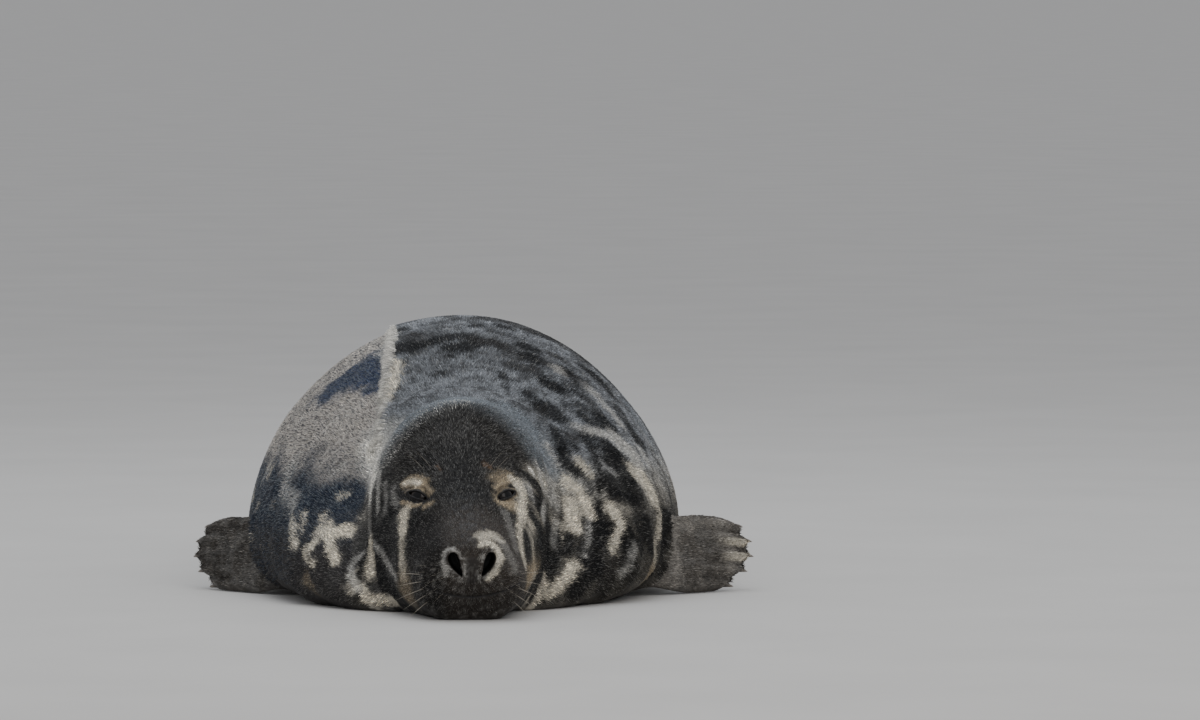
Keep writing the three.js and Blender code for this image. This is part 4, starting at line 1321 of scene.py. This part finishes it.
def body_unwrap(straight, place, first, last):
    """Places on an unwrap of the body: round it and along it."""
    angle = np.arctan2(straight[:, 0], straight[:, 2] - axis_height(place))
    u = 0.5 + 0.48 * angle / np.pi
    return np.stack([u, 0.02 + 0.95 * np.clip((place - first) / (last - first), 0, 1), 0 * u], 1)


def limb_unwrap(p, part):
    """Places on an unwrap of the flippers and tail: a column each, upper side below and under side above."""
    u, v = np.full(len(p), 0.9), 0.02 + 0.45 * np.clip((p[:, 1] - TAIL["start"]) / TAIL["length"], 0, 1)
    across = (p[:, 0] - TAIL["x"]) / (2 * TAIL["half"])
    under = p[:, 2] < TAIL["height"] - 8
    for number, limb in enumerate(LIMBS.values(), 1):
        t, share, through = limb_view(p, limb)
        own = part == number
        across = np.where(own, share / 2, across)
        v = np.where(own, 0.02 + 0.45 * np.clip(t + 0.05, 0, 1.1) / 1.1, v)
        under = np.where(own, through < 0, under)
    column = np.where(part > 0, part - 1, 0)
    u = 0.2 * column + 0.1 + 0.17 * np.clip(across, -0.5, 0.5)
    return np.stack([u, v + 0.5 * under, 0 * u], 1)


def tuft_size(straight, part):
    """Smaller tufts close to the eyes, nostrils and mouth, and larger ones on the flippers and tail."""
    size = 0.72 + 0.28 * smooth(straight[:, 1], 20, 120)
    for name, side in SIDES.items():
        _, _, c, away = eye_view(straight, EYES[name])
        size = np.where(np.abs(c) < 40, np.minimum(size, 0.4 + 0.6 * smooth(away, 2, 22)), size)
        _, _, rim = nostril_view(straight, side)
        size = np.where(straight[:, 1] < 60, np.minimum(size, 0.5 + 0.5 * smooth(rim, 0, 14)), size)
    above, shown = mouth_view(straight)
    size = np.minimum(size, 1 - 0.4 * shown * faded(np.abs(above), 1, 8))
    return np.where(part > 0, 1.25, size)


def lie_of_tufts(straight, part, out, droop):
    """The way each tuft points, at right angles to its own piece of skin."""
    lie = posed_direction(straight, lie_of_coat(straight))
    for number, limb in enumerate(LIMBS.values(), 1):
        lie[part == number] = unit(np.array(limb["along"], float))
    lie[part == 5] = (0, 1, 0)
    if droop is not None:
        lie = unit(lie + np.array(droop, float))
    return unit(lie - (lie * out).sum(1, keepdims=True) * out)


def tone_of_tufts(straight, p, part, colour, chance):
    """The marking under each tuft, with strays, paler hairs, and specks of sand and painted bluish glints on
    the right flank.
    """
    count = len(p)
    spread = 0.8 + 1.5 * smooth(straight[:, 1], 150, 420)
    strewn = straight + chance.standard_normal((count, 3)) * spread[:, None]
    tone = markings(strewn, p, part) if colour is None else np.tile(COLOURS[colour], (count, 1))
    face = faded(straight[:, 1], 300, 360)
    tone = tone * np.exp((0.36 + 0.22 * face) * chance.standard_normal(count))[:, None]
    flecked = chance.random(count) < 0.06 + 0.1 * face
    paler = (0.12 + 0.34 * chance.random(count)) * flecked
    flecks_and_glints = sandy(straight) * (part == 0) * (1 - face) * smooth(from_line(straight, COLLAR_EDGE), 7, 13)
    dry = sand_cover(straight) * (1 - 0.8 * wet_patch(straight))
    raised = 0.4 + 0.6 * smooth(straight[:, 2], 70, 130)
    return painted(
        tone,
        ("silver", paler),
        ("navy", 0.9 * flecks_and_glints * (chance.random(count) < 0.3)),
        ("silver", 0.7 * flecks_and_glints * dry * (chance.random(count) < 0.2)),
        # painted glints of sky on the damp fur, more of them higher up
        ("rime", 0.8 * flecks_and_glints * (1 - dry) * raised * (chance.random(count) < 0.24)),
    )


def root_mesh(name, pelt, weight, count, seed, unwrap, colour=None, droop=None):
    """A mesh of bare points, one for each tuft, that carries all that the tufts are laid by."""
    pick, p, out, chance = pelt.roots(weight * pelt.furred, count, seed)
    straight, part = straightened(p), pelt.part[pick]
    tone = tone_of_tufts(straight, p, part, colour, chance)
    made = new_object(name, placed(p), np.zeros((0, 3), int))
    keep_attribute(made.data, "out", "FLOAT_VECTOR", out)
    keep_attribute(made.data, "lie", "FLOAT_VECTOR", lie_of_tufts(straight, part, out, droop))
    keep_attribute(made.data, "size", "FLOAT", tuft_size(straight, part))
    keep_attribute(made.data, "root_uv", "FLOAT_VECTOR", unwrap(straight, p, pelt.place[pick], part))
    keep_attribute(made.data, "marking", "FLOAT_COLOR", opaque(tone))
    return made


# ---------------------------------------------------------------- geometry nodes
def give(tree, socket, value):
    """Links a socket to another node's output, or sets it to a plain value."""
    if isinstance(value, bpy.types.NodeSocket):
        tree.links.new(value, socket)
    else:
        socket.default_value = value


def add_node(tree, kind, given=None, **settings):
    """A new node with its settings, and with what its named or numbered sockets are given."""
    node = tree.nodes.new(kind)
    for name, value in settings.items():
        setattr(node, name, value)
    for socket, value in (given or {}).items():
        give(tree, node.inputs[socket], value)
    return node


def out_of(tree, kind, given=None, **settings):
    return add_node(tree, kind, given, **settings).outputs[0]


def tree_with_inputs(name, inputs):
    """A node tree, the outputs that carry its inputs, and the socket for the finished geometry."""
    tree = bpy.data.node_groups.new(name, "GeometryNodeTree")
    kinds = dict(number="NodeSocketFloat", object="NodeSocketObject", material="NodeSocketMaterial")
    tree.interface.new_socket(name="Geometry", in_out="INPUT", socket_type="NodeSocketGeometry")
    for label, kind in inputs.items():
        tree.interface.new_socket(name=label, in_out="INPUT", socket_type=kinds[kind])
    tree.interface.new_socket(name="Geometry", in_out="OUTPUT", socket_type="NodeSocketGeometry")
    return tree, add_node(tree, "NodeGroupInput").outputs, add_node(tree, "NodeGroupOutput").inputs[0]


def named(tree, name, kind):
    return out_of(tree, "GeometryNodeInputNamedAttribute", {"Name": name}, data_type=kind)


def chance_between(tree, low, high, seed):
    node = add_node(tree, "FunctionNodeRandomValue", {"Seed": seed}, data_type="FLOAT")
    for label, value in (("Min", low), ("Max", high)):
        give(tree, next(s for s in node.inputs if s.name == label and s.type == "VALUE"), value)
    return next(s for s in node.outputs if s.type == "VALUE")


def calculated(tree, operation, a, b):
    return out_of(tree, "ShaderNodeMath", {0: a, 1: b}, operation=operation)


def tuft_tree():
    """Stands a copy of the lock on each root, laid along the fur and lifted a little at its tip."""
    numbers = ("Length", "Width", "Thickness", "Least Lift", "Most Lift", "Stray")
    inputs = {"Lock": "object", **dict.fromkeys(numbers, "number"), "Hair": "material"}
    tree, given, finished = tree_with_inputs("lay tufts", inputs)

    def node(kind, sockets, **settings):
        return out_of(tree, kind, sockets, **settings)

    def product(a, b):
        return calculated(tree, "MULTIPLY", a, b)

    lock = add_node(tree, "GeometryNodeObjectInfo", {"Object": given["Lock"]}).outputs["Geometry"]
    points = node("GeometryNodeMeshToPoints", {"Mesh": given["Geometry"]})
    lie, out = named(tree, "lie", "FLOAT_VECTOR"), named(tree, "out", "FLOAT_VECTOR")
    align = "FunctionNodeAlignRotationToVector"
    laid = node(align, {"Vector": lie}, axis="X")
    faced = node(align, {"Rotation": laid, "Vector": out}, axis="Z", pivot_axis="X")
    lift = chance_between(tree, given["Least Lift"], given["Most Lift"], 3)
    stray = product(chance_between(tree, -1.0, 1.0, 5), given["Stray"])
    turn = node("ShaderNodeCombineXYZ", {"Y": product(lift, -1.0), "Z": stray})
    spin = node("FunctionNodeEulerToRotation", {"Euler": turn})
    turns = {"Rotation": faced, "Rotate By": spin}
    turned = node("FunctionNodeRotateRotation", turns, rotation_space="LOCAL")
    size = named(tree, "size", "FLOAT")
    grown = product(size, chance_between(tree, 0.75, 1.2, 7))
    sizes = {
        "X": product(given["Length"], grown),
        "Y": product(given["Width"], size),
        "Z": product(given["Thickness"], size),
    }
    scale = node("ShaderNodeCombineXYZ", sizes)
    stand = {"Points": points, "Instance": lock, "Rotation": turned, "Scale": scale}
    real = node("GeometryNodeRealizeInstances", {0: node("GeometryNodeInstanceOnPoints", stand)})
    root, corner = named(tree, "root_uv", "FLOAT_VECTOR"), named(tree, "patch", "FLOAT_VECTOR")
    patch = node("ShaderNodeVectorMath", {0: root, 1: corner}, operation="ADD")
    kept = {"Geometry": real, "Name": "OFBake", "Value": patch}
    unwrapped = node("GeometryNodeStoreNamedAttribute", kept, data_type="FLOAT2", domain="CORNER")
    dressed = node("GeometryNodeSetMaterial", {"Geometry": unwrapped, "Material": given["Hair"]})
    give(tree, finished, dressed)
    return tree


def grown_from(source, tree, sizes, spent):
    """Runs a node tree on an object, keeps what it makes as a plain mesh, and drops spent attributes."""
    sockets = {item.name: item.identifier for item in tree.interface.items_tree if item.in_out == "INPUT"}
    modifier = source.modifiers.new("grow", "NODES")
    modifier.node_group = tree
    for label, value in sizes.items():
        modifier[sockets[label]] = value
    mesh = evaluated_mesh(source)
    made_of = next(value for value in sizes.values() if isinstance(value, bpy.types.Material))
    mesh.materials.clear()
    mesh.materials.append(made_of)
    mesh.polygons.foreach_set("material_index", np.zeros(len(mesh.polygons), np.int32))
    worn = source.data
    source.data = mesh
    bpy.data.meshes.remove(worn)
    for name in spent:
        if name in mesh.attributes:
            mesh.attributes.remove(mesh.attributes[name])
    return source


def make_lock():
    """A lock of hair: a closed wedge from a wide root, along a ridge, to a fine tip."""
    points = [(0, -0.5, -0.4), (0, 0.5, -0.4), (0.34, 0.0, 1.0), (1, 0, 0.1)]
    faces = np.array([(1, 0, 3), (0, 2, 3), (2, 1, 3), (0, 1, 2)])
    lock = new_object("lock", points, faces, smooth_shaded=False)
    lock.data.shade_flat()
    keep_attribute(lock.data, "along", "FLOAT", [0, 0, 0.3, 1])
    patch = np.array([(0, 0, 0), (1, 0, 0), (0.5, 0.5, 0), (0.5, 1, 0)]) * 0.003
    keep_attribute(lock.data, "patch", "FLOAT_VECTOR", patch)
    return lock


# How far tufts turn aside, in degrees.
STRAY = 11
CREST_EDGE = ((-98, 262, 215), (-70, 285, 250), (-38, 300, 275), (0, 312, 290))
# Pieces of the coat: slot, where along the body, how many tufts, then their length, width and thickness
# in millimetres and the least and most lift of their tips in degrees.
COATS = {
    "coat_face": ("face_coat", 0, 150, 46000, 4.2, 0.8, 0.35, 3, 12),
    "coat_crown": ("face_coat", 150, 300, 48500, 5.6, 0.95, 0.4, 3, 12),
    "coat_neck": ("coat", 300, 450, 48500, 6.2, 1.25, 0.5, 3, 10),
    "coat_chest": ("pale_coat", 450, 680, 48500, 7.6, 1.6, 0.6, 3, 10),
    "coat_shoulders": ("pale_coat", 680, 960, 48500, 10.0, 2.1, 0.75, 3, 10),
    "coat_loin": ("pale_coat", 960, 1280, 46000, 13.0, 2.5, 0.8, 3, 10),
    "coat_rump": ("coat", 1280, 1745, 38000, 12.0, 2.3, 0.8, 3, 10),
}


def round_body(first, last):
    """An unwrap of the body between two places along it."""
    return lambda straight, p, place, part: body_unwrap(straight, place, first, last)


def over_limbs(straight, p, place, part):
    return limb_unwrap(p, part)


def make_coat(pelt, hair):
    """All pieces of the coat, each with its slot."""
    lock, tree = make_lock(), tuft_tree()
    spent = ("lie", "out", "size", "root_uv", "patch")
    pieces = []

    def grow(name, slot, weight, count, sizes, unwrap, material="coat", **extra):
        *lengths, least, most = sizes
        roots = root_mesh(name, pelt, weight, count, len(pieces) + 11, unwrap, **extra)
        values = {"Lock": lock, "Hair": hair[material], "Stray": float(np.radians(STRAY))}
        values.update({label: size * MM for label, size in zip(("Length", "Width", "Thickness"), lengths)})
        values.update({"Least Lift": float(np.radians(least)), "Most Lift": float(np.radians(most))})
        pieces.append((grown_from(roots, tree, values, spent), slot))

    on_body = pelt.part == 0
    in_front = 1 + 0.8 * smooth(-pelt.facing[:, 1], -0.1, 0.5)
    for name, (slot, first, last, count, *sizes) in COATS.items():
        weight = ((pelt.place >= first) & (pelt.place < last) & on_body) * in_front
        grow(name, slot, weight, count, sizes, round_body(first, last))
    grow("coat_flippers", "coat", 1.0 * (pelt.part > 0), 34000, (5.2, 1.2, 0.4, 2, 9), over_limbs)

    pale = dict(unwrap=round_body(150, 900), material="fringe", colour="silver")
    x, y, z = pelt.straight.T
    past = past_fold(x, z)
    tatter = 0.15 + smooth(mottle(pelt.straight, 14, 66, 2), -0.4, 0.6)
    lip = (past > -3) & (past < 10) & (y > FOLD["start"]) & (y < FOLD["end"] + 60) & (z > 200) & on_body
    fringe = lip * (0.4 + smooth(z, 280, 360)) * tatter
    grow("coat_fringe", "pale_coat", fringe, 4200, (11, 0.9, 0.4, 8, 30), droop=(-0.9, 0.1, -0.9), **pale)
    rim = (from_line(pelt.straight, COLLAR_EDGE) < 8) * smooth(z, 135, 190) * tatter
    grow("coat_rim", "pale_coat", rim, 1600, (6, 0.7, 0.35, 6, 22), **pale)
    crest = from_line(pelt.straight, CREST_EDGE) < 20
    grow("coat_crest", "face_coat", 1.0 * crest, 700, (4.5, 0.6, 0.3, 8, 24), **pale)
    bpy.data.objects.remove(lock)
    return pieces


# ---------------------------------------------------------------- eyes, claws and whiskers
def make_eye(name):
    """An eyeball with a bulging cornea, its rings turned round the way it looks."""
    eye = EYES[name]
    pole, steps, around = 0.03, 40, 48
    turn = np.linspace(pole, np.pi - pole, steps)
    round_it = full_turn(around)
    radius = EYE["radius"] - 0.15 + 0.9 * faded(turn, 0.3, 0.72)
    rings = []
    for t, r in zip(turn, radius):
        sideways = np.cos(round_it)[:, None] * eye["across"] + np.sin(round_it)[:, None] * eye["above"]
        ring = eye["middle"] + r * (np.cos(t) * eye["gaze"] + np.sin(t) * sideways)
        rings.append(placed(posed(ring)))
    made = closed_rings("eyeball_" + name, rings)
    from_front = np.concatenate([np.repeat(turn, around), [0.0, np.pi]])
    keep_attribute(made.data, "from_front", "FLOAT", from_front)
    return made


def make_claws(name, limb):
    """The five claws of a flipper: short curved horns with a ridge above."""
    kind = name.split("_")[0]
    size = CLAWS[kind]
    form, axes = limb["form"], limb_axes(limb)
    bend = np.sign(limb["curl"])
    made, faces, along = [], [], []
    steps, around = 14, 12
    forward, spread, slim, hook, sunk = 1.05, 0.93, 0.86, 0.32, 1.5
    for digit in range(DIGITS):
        share = (2 * digit + 1) / DIGITS - 1
        start = flipper_end(form, share) - size["set"]
        first = sum(len(part) for part in made)
        for i in range(steps + 1):
            t = i / steps
            r = size["radius"] * max((1 - t**1.9) ** 0.75, 0.06)
            a = 2 * np.pi * np.arange(around) / around
            crest = 1 + 0.14 * np.maximum(np.sin(a) * bend, 0) ** 3
            local = np.stack(
                [
                    np.full(around, start + forward + size["length"] * t),
                    form["palm"] / 2 * share * spread + slim * r * np.cos(a),
                    limb["curl"] + bend * size["length"] * hook * t * t + r * crest * np.sin(a) - bend * sunk,
                ],
                1,
            )
            made.append(local @ axes + np.array(limb["root"], float))
            along += [t] * around
        rings = first + around * np.arange(steps + 1)
        for i in range(steps):
            a, b = rings[i] + np.arange(around), rings[i + 1] + np.arange(around)
            faces += np.stack([a, b, np.roll(b, -1), np.roll(a, -1)], 1).tolist()
        faces.append((rings[0] + np.arange(around)).tolist())
        faces.append((rings[-1] + np.arange(around))[::-1].tolist())
    points = np.concatenate(made)
    points[:, 2] = np.maximum(points[:, 2], LIMB_LOWEST)
    claws = faces_outwards(new_object("claws_" + name, placed(points), faces))
    keep_attribute(claws.data, "along", "FLOAT", along)
    return claws


def whisker_tree():
    """A round tapering hair along each line of points."""
    tree, given, finished = tree_with_inputs("grow whiskers", {"Radius": "number", "Horn": "material"})
    lines = out_of(tree, "GeometryNodeMeshToCurve", {0: given["Geometry"]})
    section = out_of(tree, "GeometryNodeCurvePrimitiveCircle", {"Resolution": 6, "Radius": given["Radius"]})
    taper = named(tree, "taper", "FLOAT")
    swept = {"Curve": lines, "Profile Curve": section, "Scale": taper, "Fill Caps": True}
    real = out_of(tree, "GeometryNodeRealizeInstances", {0: out_of(tree, "GeometryNodeCurveToMesh", swept)})
    dressed = out_of(tree, "GeometryNodeSetMaterial", {"Geometry": real, "Material": given["Horn"]})
    give(tree, finished, dressed)
    return tree


def whisker_lines():
    """Start, way out, bend, length and thickness of each whisker on the straight head."""
    chance = np.random.default_rng(5)
    lines = []
    for side in SIDES.values():
        for i in range(5):
            drop = i / 4
            start = face_point(side * (72 - 10 * drop), 64 - 40 * drop)[0]
            way = unit(np.array([side * 1.0, 0.3, 0.12 - 0.95 * drop]))
            lines.append((start, way, np.array([0, 0.35, -0.12]), 34 + 13 * chance.random(), 0.95))
        for x, y, z in FOLLICLES[::2]:
            start = np.array([side * x, y, z])
            way = unit(np.array([side * 0.8, -0.1, (z - 64) / 42]))
            lines.append((start, way, np.array([side * 0.2, 0.45, -0.35]), 8 + 7 * chance.random(), 0.4))
        for i in range(2):
            start = face_point(side * (43 + 9 * i), 206 - 4 * i)[0]
            way = unit(np.array([side * (0.5 + 0.1 * i), -0.1, 0.75]))
            lines.append((start, way, np.array([side * 0.1, 0.5, -0.1]), 30 + 5 * chance.random(), 0.5))
    return lines


def make_whiskers(horn):
    """Lines of points that the whisker tree makes into hairs, rooted 2 mm under the skin."""
    points, edges, taper, along = [], [], [], []
    steps = 10
    for start, way, bend, length, stout in whisker_lines():
        t = np.linspace(0, 1, steps + 1)
        line = start + length * (t[:, None] * way + (t**2)[:, None] * bend) - 2.0 * way
        line[:, 2] = np.maximum(line[:, 2], 3.0)
        first = len(points) * (steps + 1)
        points.append(placed(posed(line)))
        edges += [(first + i, first + i + 1) for i in range(steps)]
        taper += list(stout * (1.0 - 0.85 * t))
        along += list(t)
    made = bpy.data.meshes.new("whiskers")
    made.from_pydata(np.concatenate(points).tolist(), edges, [])
    keep_attribute(made, "taper", "FLOAT", taper)
    keep_attribute(made, "along", "FLOAT", along)
    whiskers = in_scene("whiskers", made)
    return grown_from(whiskers, whisker_tree(), {"Radius": 0.42 * MM, "Horn": horn}, ("taper",))


# ---------------------------------------------------------------- finishes
def new_material(name, **constants):
    """A material, its node tree and its shader, with constants set on the shader's own sockets."""
    material = bpy.data.materials.new(name)
    material.use_nodes = True
    tree = material.node_tree
    shader = next(n for n in tree.nodes if n.type == "BSDF_PRINCIPLED")
    for socket, value in constants.items():
        shader.inputs[socket.replace("_", " ")].default_value = value
    return material, tree, shader


def attribute(tree, name, output="Fac"):
    return add_node(tree, "ShaderNodeAttribute", attribute_name=name).outputs[output]


def fine_noise(tree, scale, stretch=(1, 1, 1), detail=3.0):
    """Noise on the piece's own coordinates, in blotches per metre."""
    place = add_node(tree, "ShaderNodeTexCoord").outputs["Object"]
    stretched = out_of(tree, "ShaderNodeMapping", {"Vector": place, "Scale": stretch})
    noise = add_node(tree, "ShaderNodeTexNoise", {"Vector": stretched, "Scale": scale, "Detail": detail})
    return noise.outputs["Fac"]


def ranged(tree, value, low, high, to_low, to_high):
    limits = {"From Min": low, "From Max": high, "To Min": to_low, "To Max": to_high}
    return out_of(tree, "ShaderNodeMapRange", {"Value": value, **limits})


def varied(tree, noise, least, most):
    """Noise between two limits; nearly all of it lies from 0.3 to 0.7 at first."""
    return ranged(tree, noise, 0.3, 0.7, least, most)


def ramped(tree, value, *stops):
    """A colour that runs through the given stops; the first two are its ends."""
    node = add_node(tree, "ShaderNodeValToRGB", {"Fac": value})
    ramp = node.color_ramp.elements
    for number, (place, colour) in enumerate(stops):
        stop = ramp[number] if number < 2 else ramp.new(place)
        stop.position = place
        stop.color = (*colour, 1)
    return node.outputs["Color"]


def colour_by(tree, shader, colour, shade):
    """Gives the shader a colour made lighter or darker by a number."""
    shaded = out_of(tree, "ShaderNodeVectorMath", {0: colour, "Scale": shade}, operation="SCALE")
    give(tree, shader.inputs["Base Color"], shaded)


def bumped(tree, shader, height, strength, distance):
    bump = out_of(tree, "ShaderNodeBump", {"Height": height, "Strength": strength, "Distance": distance})
    give(tree, shader.inputs["Normal"], bump)


def furred_skin():
    material, tree, shader = new_material("furred skin", Specular_IOR_Level=0.3)
    nap = fine_noise(tree, 420, (1, 0.25, 1), 4.0)
    colour_by(tree, shader, attribute(tree, "marking", "Color"), varied(tree, nap, 0.72, 1.2))
    give(tree, shader.inputs["Roughness"], ranged(tree, attribute(tree, "bare"), 0, 1, 0.62, 0.3))
    wrinkle = fine_noise(tree, 150, (1, 0.6, 1), 5.0)
    height = calculated(tree, "ADD", calculated(tree, "MULTIPLY", wrinkle, 1.4), nap)
    bumped(tree, shader, height, 0.55, 0.0012)
    return material


def hair_material(name, root_shade, rough):
    constants = dict(Specular_IOR_Level=0.15, Sheen_Weight=0.04, Sheen_Roughness=0.4)
    material, tree, shader = new_material(name, **constants)
    along = attribute(tree, "along")
    grain = varied(tree, fine_noise(tree, 620, detail=2.0), 0.65, 1.35)
    # painted shade between the hairs: each tuft darkest at its root and lighter towards its tip
    shade = calculated(tree, "MULTIPLY", ranged(tree, along, 0, 0.8, root_shade, 1.25), grain)
    colour_by(tree, shader, attribute(tree, "marking", "Color"), shade)
    give(tree, shader.inputs["Roughness"], ranged(tree, along, 0, 1, rough + 0.12, rough))
    return material


def wet_eye():
    constants = dict(Roughness=0.16, Specular_IOR_Level=0.18, Coat_Weight=0.2, Coat_Roughness=0.03)
    material, tree, shader = new_material("wet eye", **constants)
    front = ranged(tree, attribute(tree, "from_front"), 0, 1.6, 0, 1)
    pupil, white = (0.16, (0.0015, 0.0012, 0.001)), (0.6, (0.045, 0.03, 0.024))
    iris, rim = (0.2, (0.012, 0.007, 0.004)), (0.42, (0.004, 0.0025, 0.002))
    streaks = varied(tree, fine_noise(tree, 1400), 0.6, 1.5)
    colour_by(tree, shader, ramped(tree, front, pupil, white, iris, rim), streaks)
    return material


def claw_horn():
    material, tree, shader = new_material("claw horn")
    grain = fine_noise(tree, 700, (1, 0.3, 1), 4.0)
    stops = (0.25, (0.05, 0.042, 0.034)), (0.95, (0.24, 0.2, 0.155))
    horn = ramped(tree, attribute(tree, "along"), *stops)
    colour_by(tree, shader, horn, varied(tree, grain, 0.6, 1.4))
    give(tree, shader.inputs["Roughness"], varied(tree, grain, 0.28, 0.5))
    bumped(tree, shader, grain, 0.4, 0.0006)
    return material


def whisker_horn():
    material, tree, shader = new_material("whisker horn", Roughness=0.35)
    stops = (0.0, (0.16, 0.14, 0.11)), (0.35, (0.5, 0.45, 0.37))
    horn = ramped(tree, attribute(tree, "along"), *stops)
    colour_by(tree, shader, horn, varied(tree, fine_noise(tree, 500), 0.85, 1.1))
    return material


def pale_floor():
    material, tree, shader = new_material("pale floor", Roughness=0.8)
    tone = add_node(tree, "ShaderNodeRGB").outputs[0]
    tone.default_value = (0.62, 0.6, 0.57, 1)
    colour_by(tree, shader, tone, varied(tree, fine_noise(tree, 3, detail=4.0), 0.97, 1.03))
    return material


# ---------------------------------------------------------------- the model
def dress(piece, material):
    piece.data.materials.clear()
    piece.data.materials.append(material)


def build_seal():
    skin = make_skin()
    pelt = Pelt(skin.data)
    finish_skin(skin)
    dress(skin, furred_skin())
    hair = {"coat": hair_material("short fur", 0.5, 0.5), "fringe": hair_material("pale fringe", 0.8, 0.45)}
    coats = make_coat(pelt, hair)
    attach(skin, "root")
    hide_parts("head", "neck", "chest", "trunk", "rump", "tail", *(f"{a}_flipper_{b}" for a, b in
                (name.split("_") for name in LIMBS)))
    for piece, slot in coats:
        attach(piece, "root")
    eye_gloss, horn = wet_eye(), claw_horn()
    for name in SIDES:
        ball = make_eye(name)
        dress(ball, eye_gloss)
        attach(ball, "root")
        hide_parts("eye_" + name)
    for name, limb in LIMBS.items():
        claws = make_claws(name, limb)
        dress(claws, horn)
        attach(claws, "root")
        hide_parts(*(f"claw_{name}_{digit + 1}" for digit in range(DIGITS)))
    whiskers = make_whiskers(whisker_horn())
    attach(whiskers, "root")


# ---------------------------------------------------------------- floor, light and camera
def make_floor():
    """A floor far larger than the view, a hair below the belly."""
    half, front, back, level = 260.0, -60.0, 520.0, -0.0006
    corners = [(-half, front, level), (half, front, level), (half, back, level), (-half, back, level)]
    floor = new_object("floor", corners, [(0, 1, 2, 3)])
    dress(floor, pale_floor())


def add_lamp(name, place, aim, power, width, colour):
    """A square soft light: power in watts and width in metres."""
    data = bpy.data.lights.new(name, "AREA")
    data.energy, data.size, data.color = power, width, colour
    lamp = in_scene(name, data)
    lamp.location = place
    lamp.rotation_euler = (Vector(aim) - Vector(place)).to_track_quat("-Z", "Y").to_euler()


def light_studio():
    world = bpy.data.worlds.new("studio")
    bpy.context.scene.world = world
    world.use_nodes = True
    sky = world.node_tree.nodes["Background"]
    sky.inputs["Color"].default_value = (0.68, 0.7, 0.74, 1)
    sky.inputs["Strength"].default_value = 0.8
    add_lamp("overcast", (-0.6, 0.4, 4.6), (0, -0.1, 0.1), 95, 4.0, (0.9, 0.95, 1.0))
    add_lamp("front", (1.6, -4.5, 3.4), (0, -0.7, 0.1), 55, 3.0, (1.0, 0.97, 0.93))


CAMERA = dict(distance=12.0, climb=4.5, aim=(0.0, 40.0, 0.0), pitch=1.731, yaw=0.916, lens=257.13)


def place_camera():
    data = bpy.data.cameras.new("camera")
    data.lens, data.sensor_width, data.clip_end = CAMERA["lens"], 36.0, 900.0
    camera = in_scene("camera", data)
    climb = np.radians(CAMERA["climb"])
    aim = placed(np.array([CAMERA["aim"]]))[0]
    camera.location = aim + CAMERA["distance"] * np.array([0, -np.cos(climb), np.sin(climb)])
    pitch = np.radians(90 - CAMERA["climb"] + CAMERA["pitch"])
    camera.rotation_euler = (pitch, 0, -np.radians(CAMERA["yaw"]))
    bpy.context.scene.camera = camera


build_seal()
make_floor()
light_studio()
place_camera()
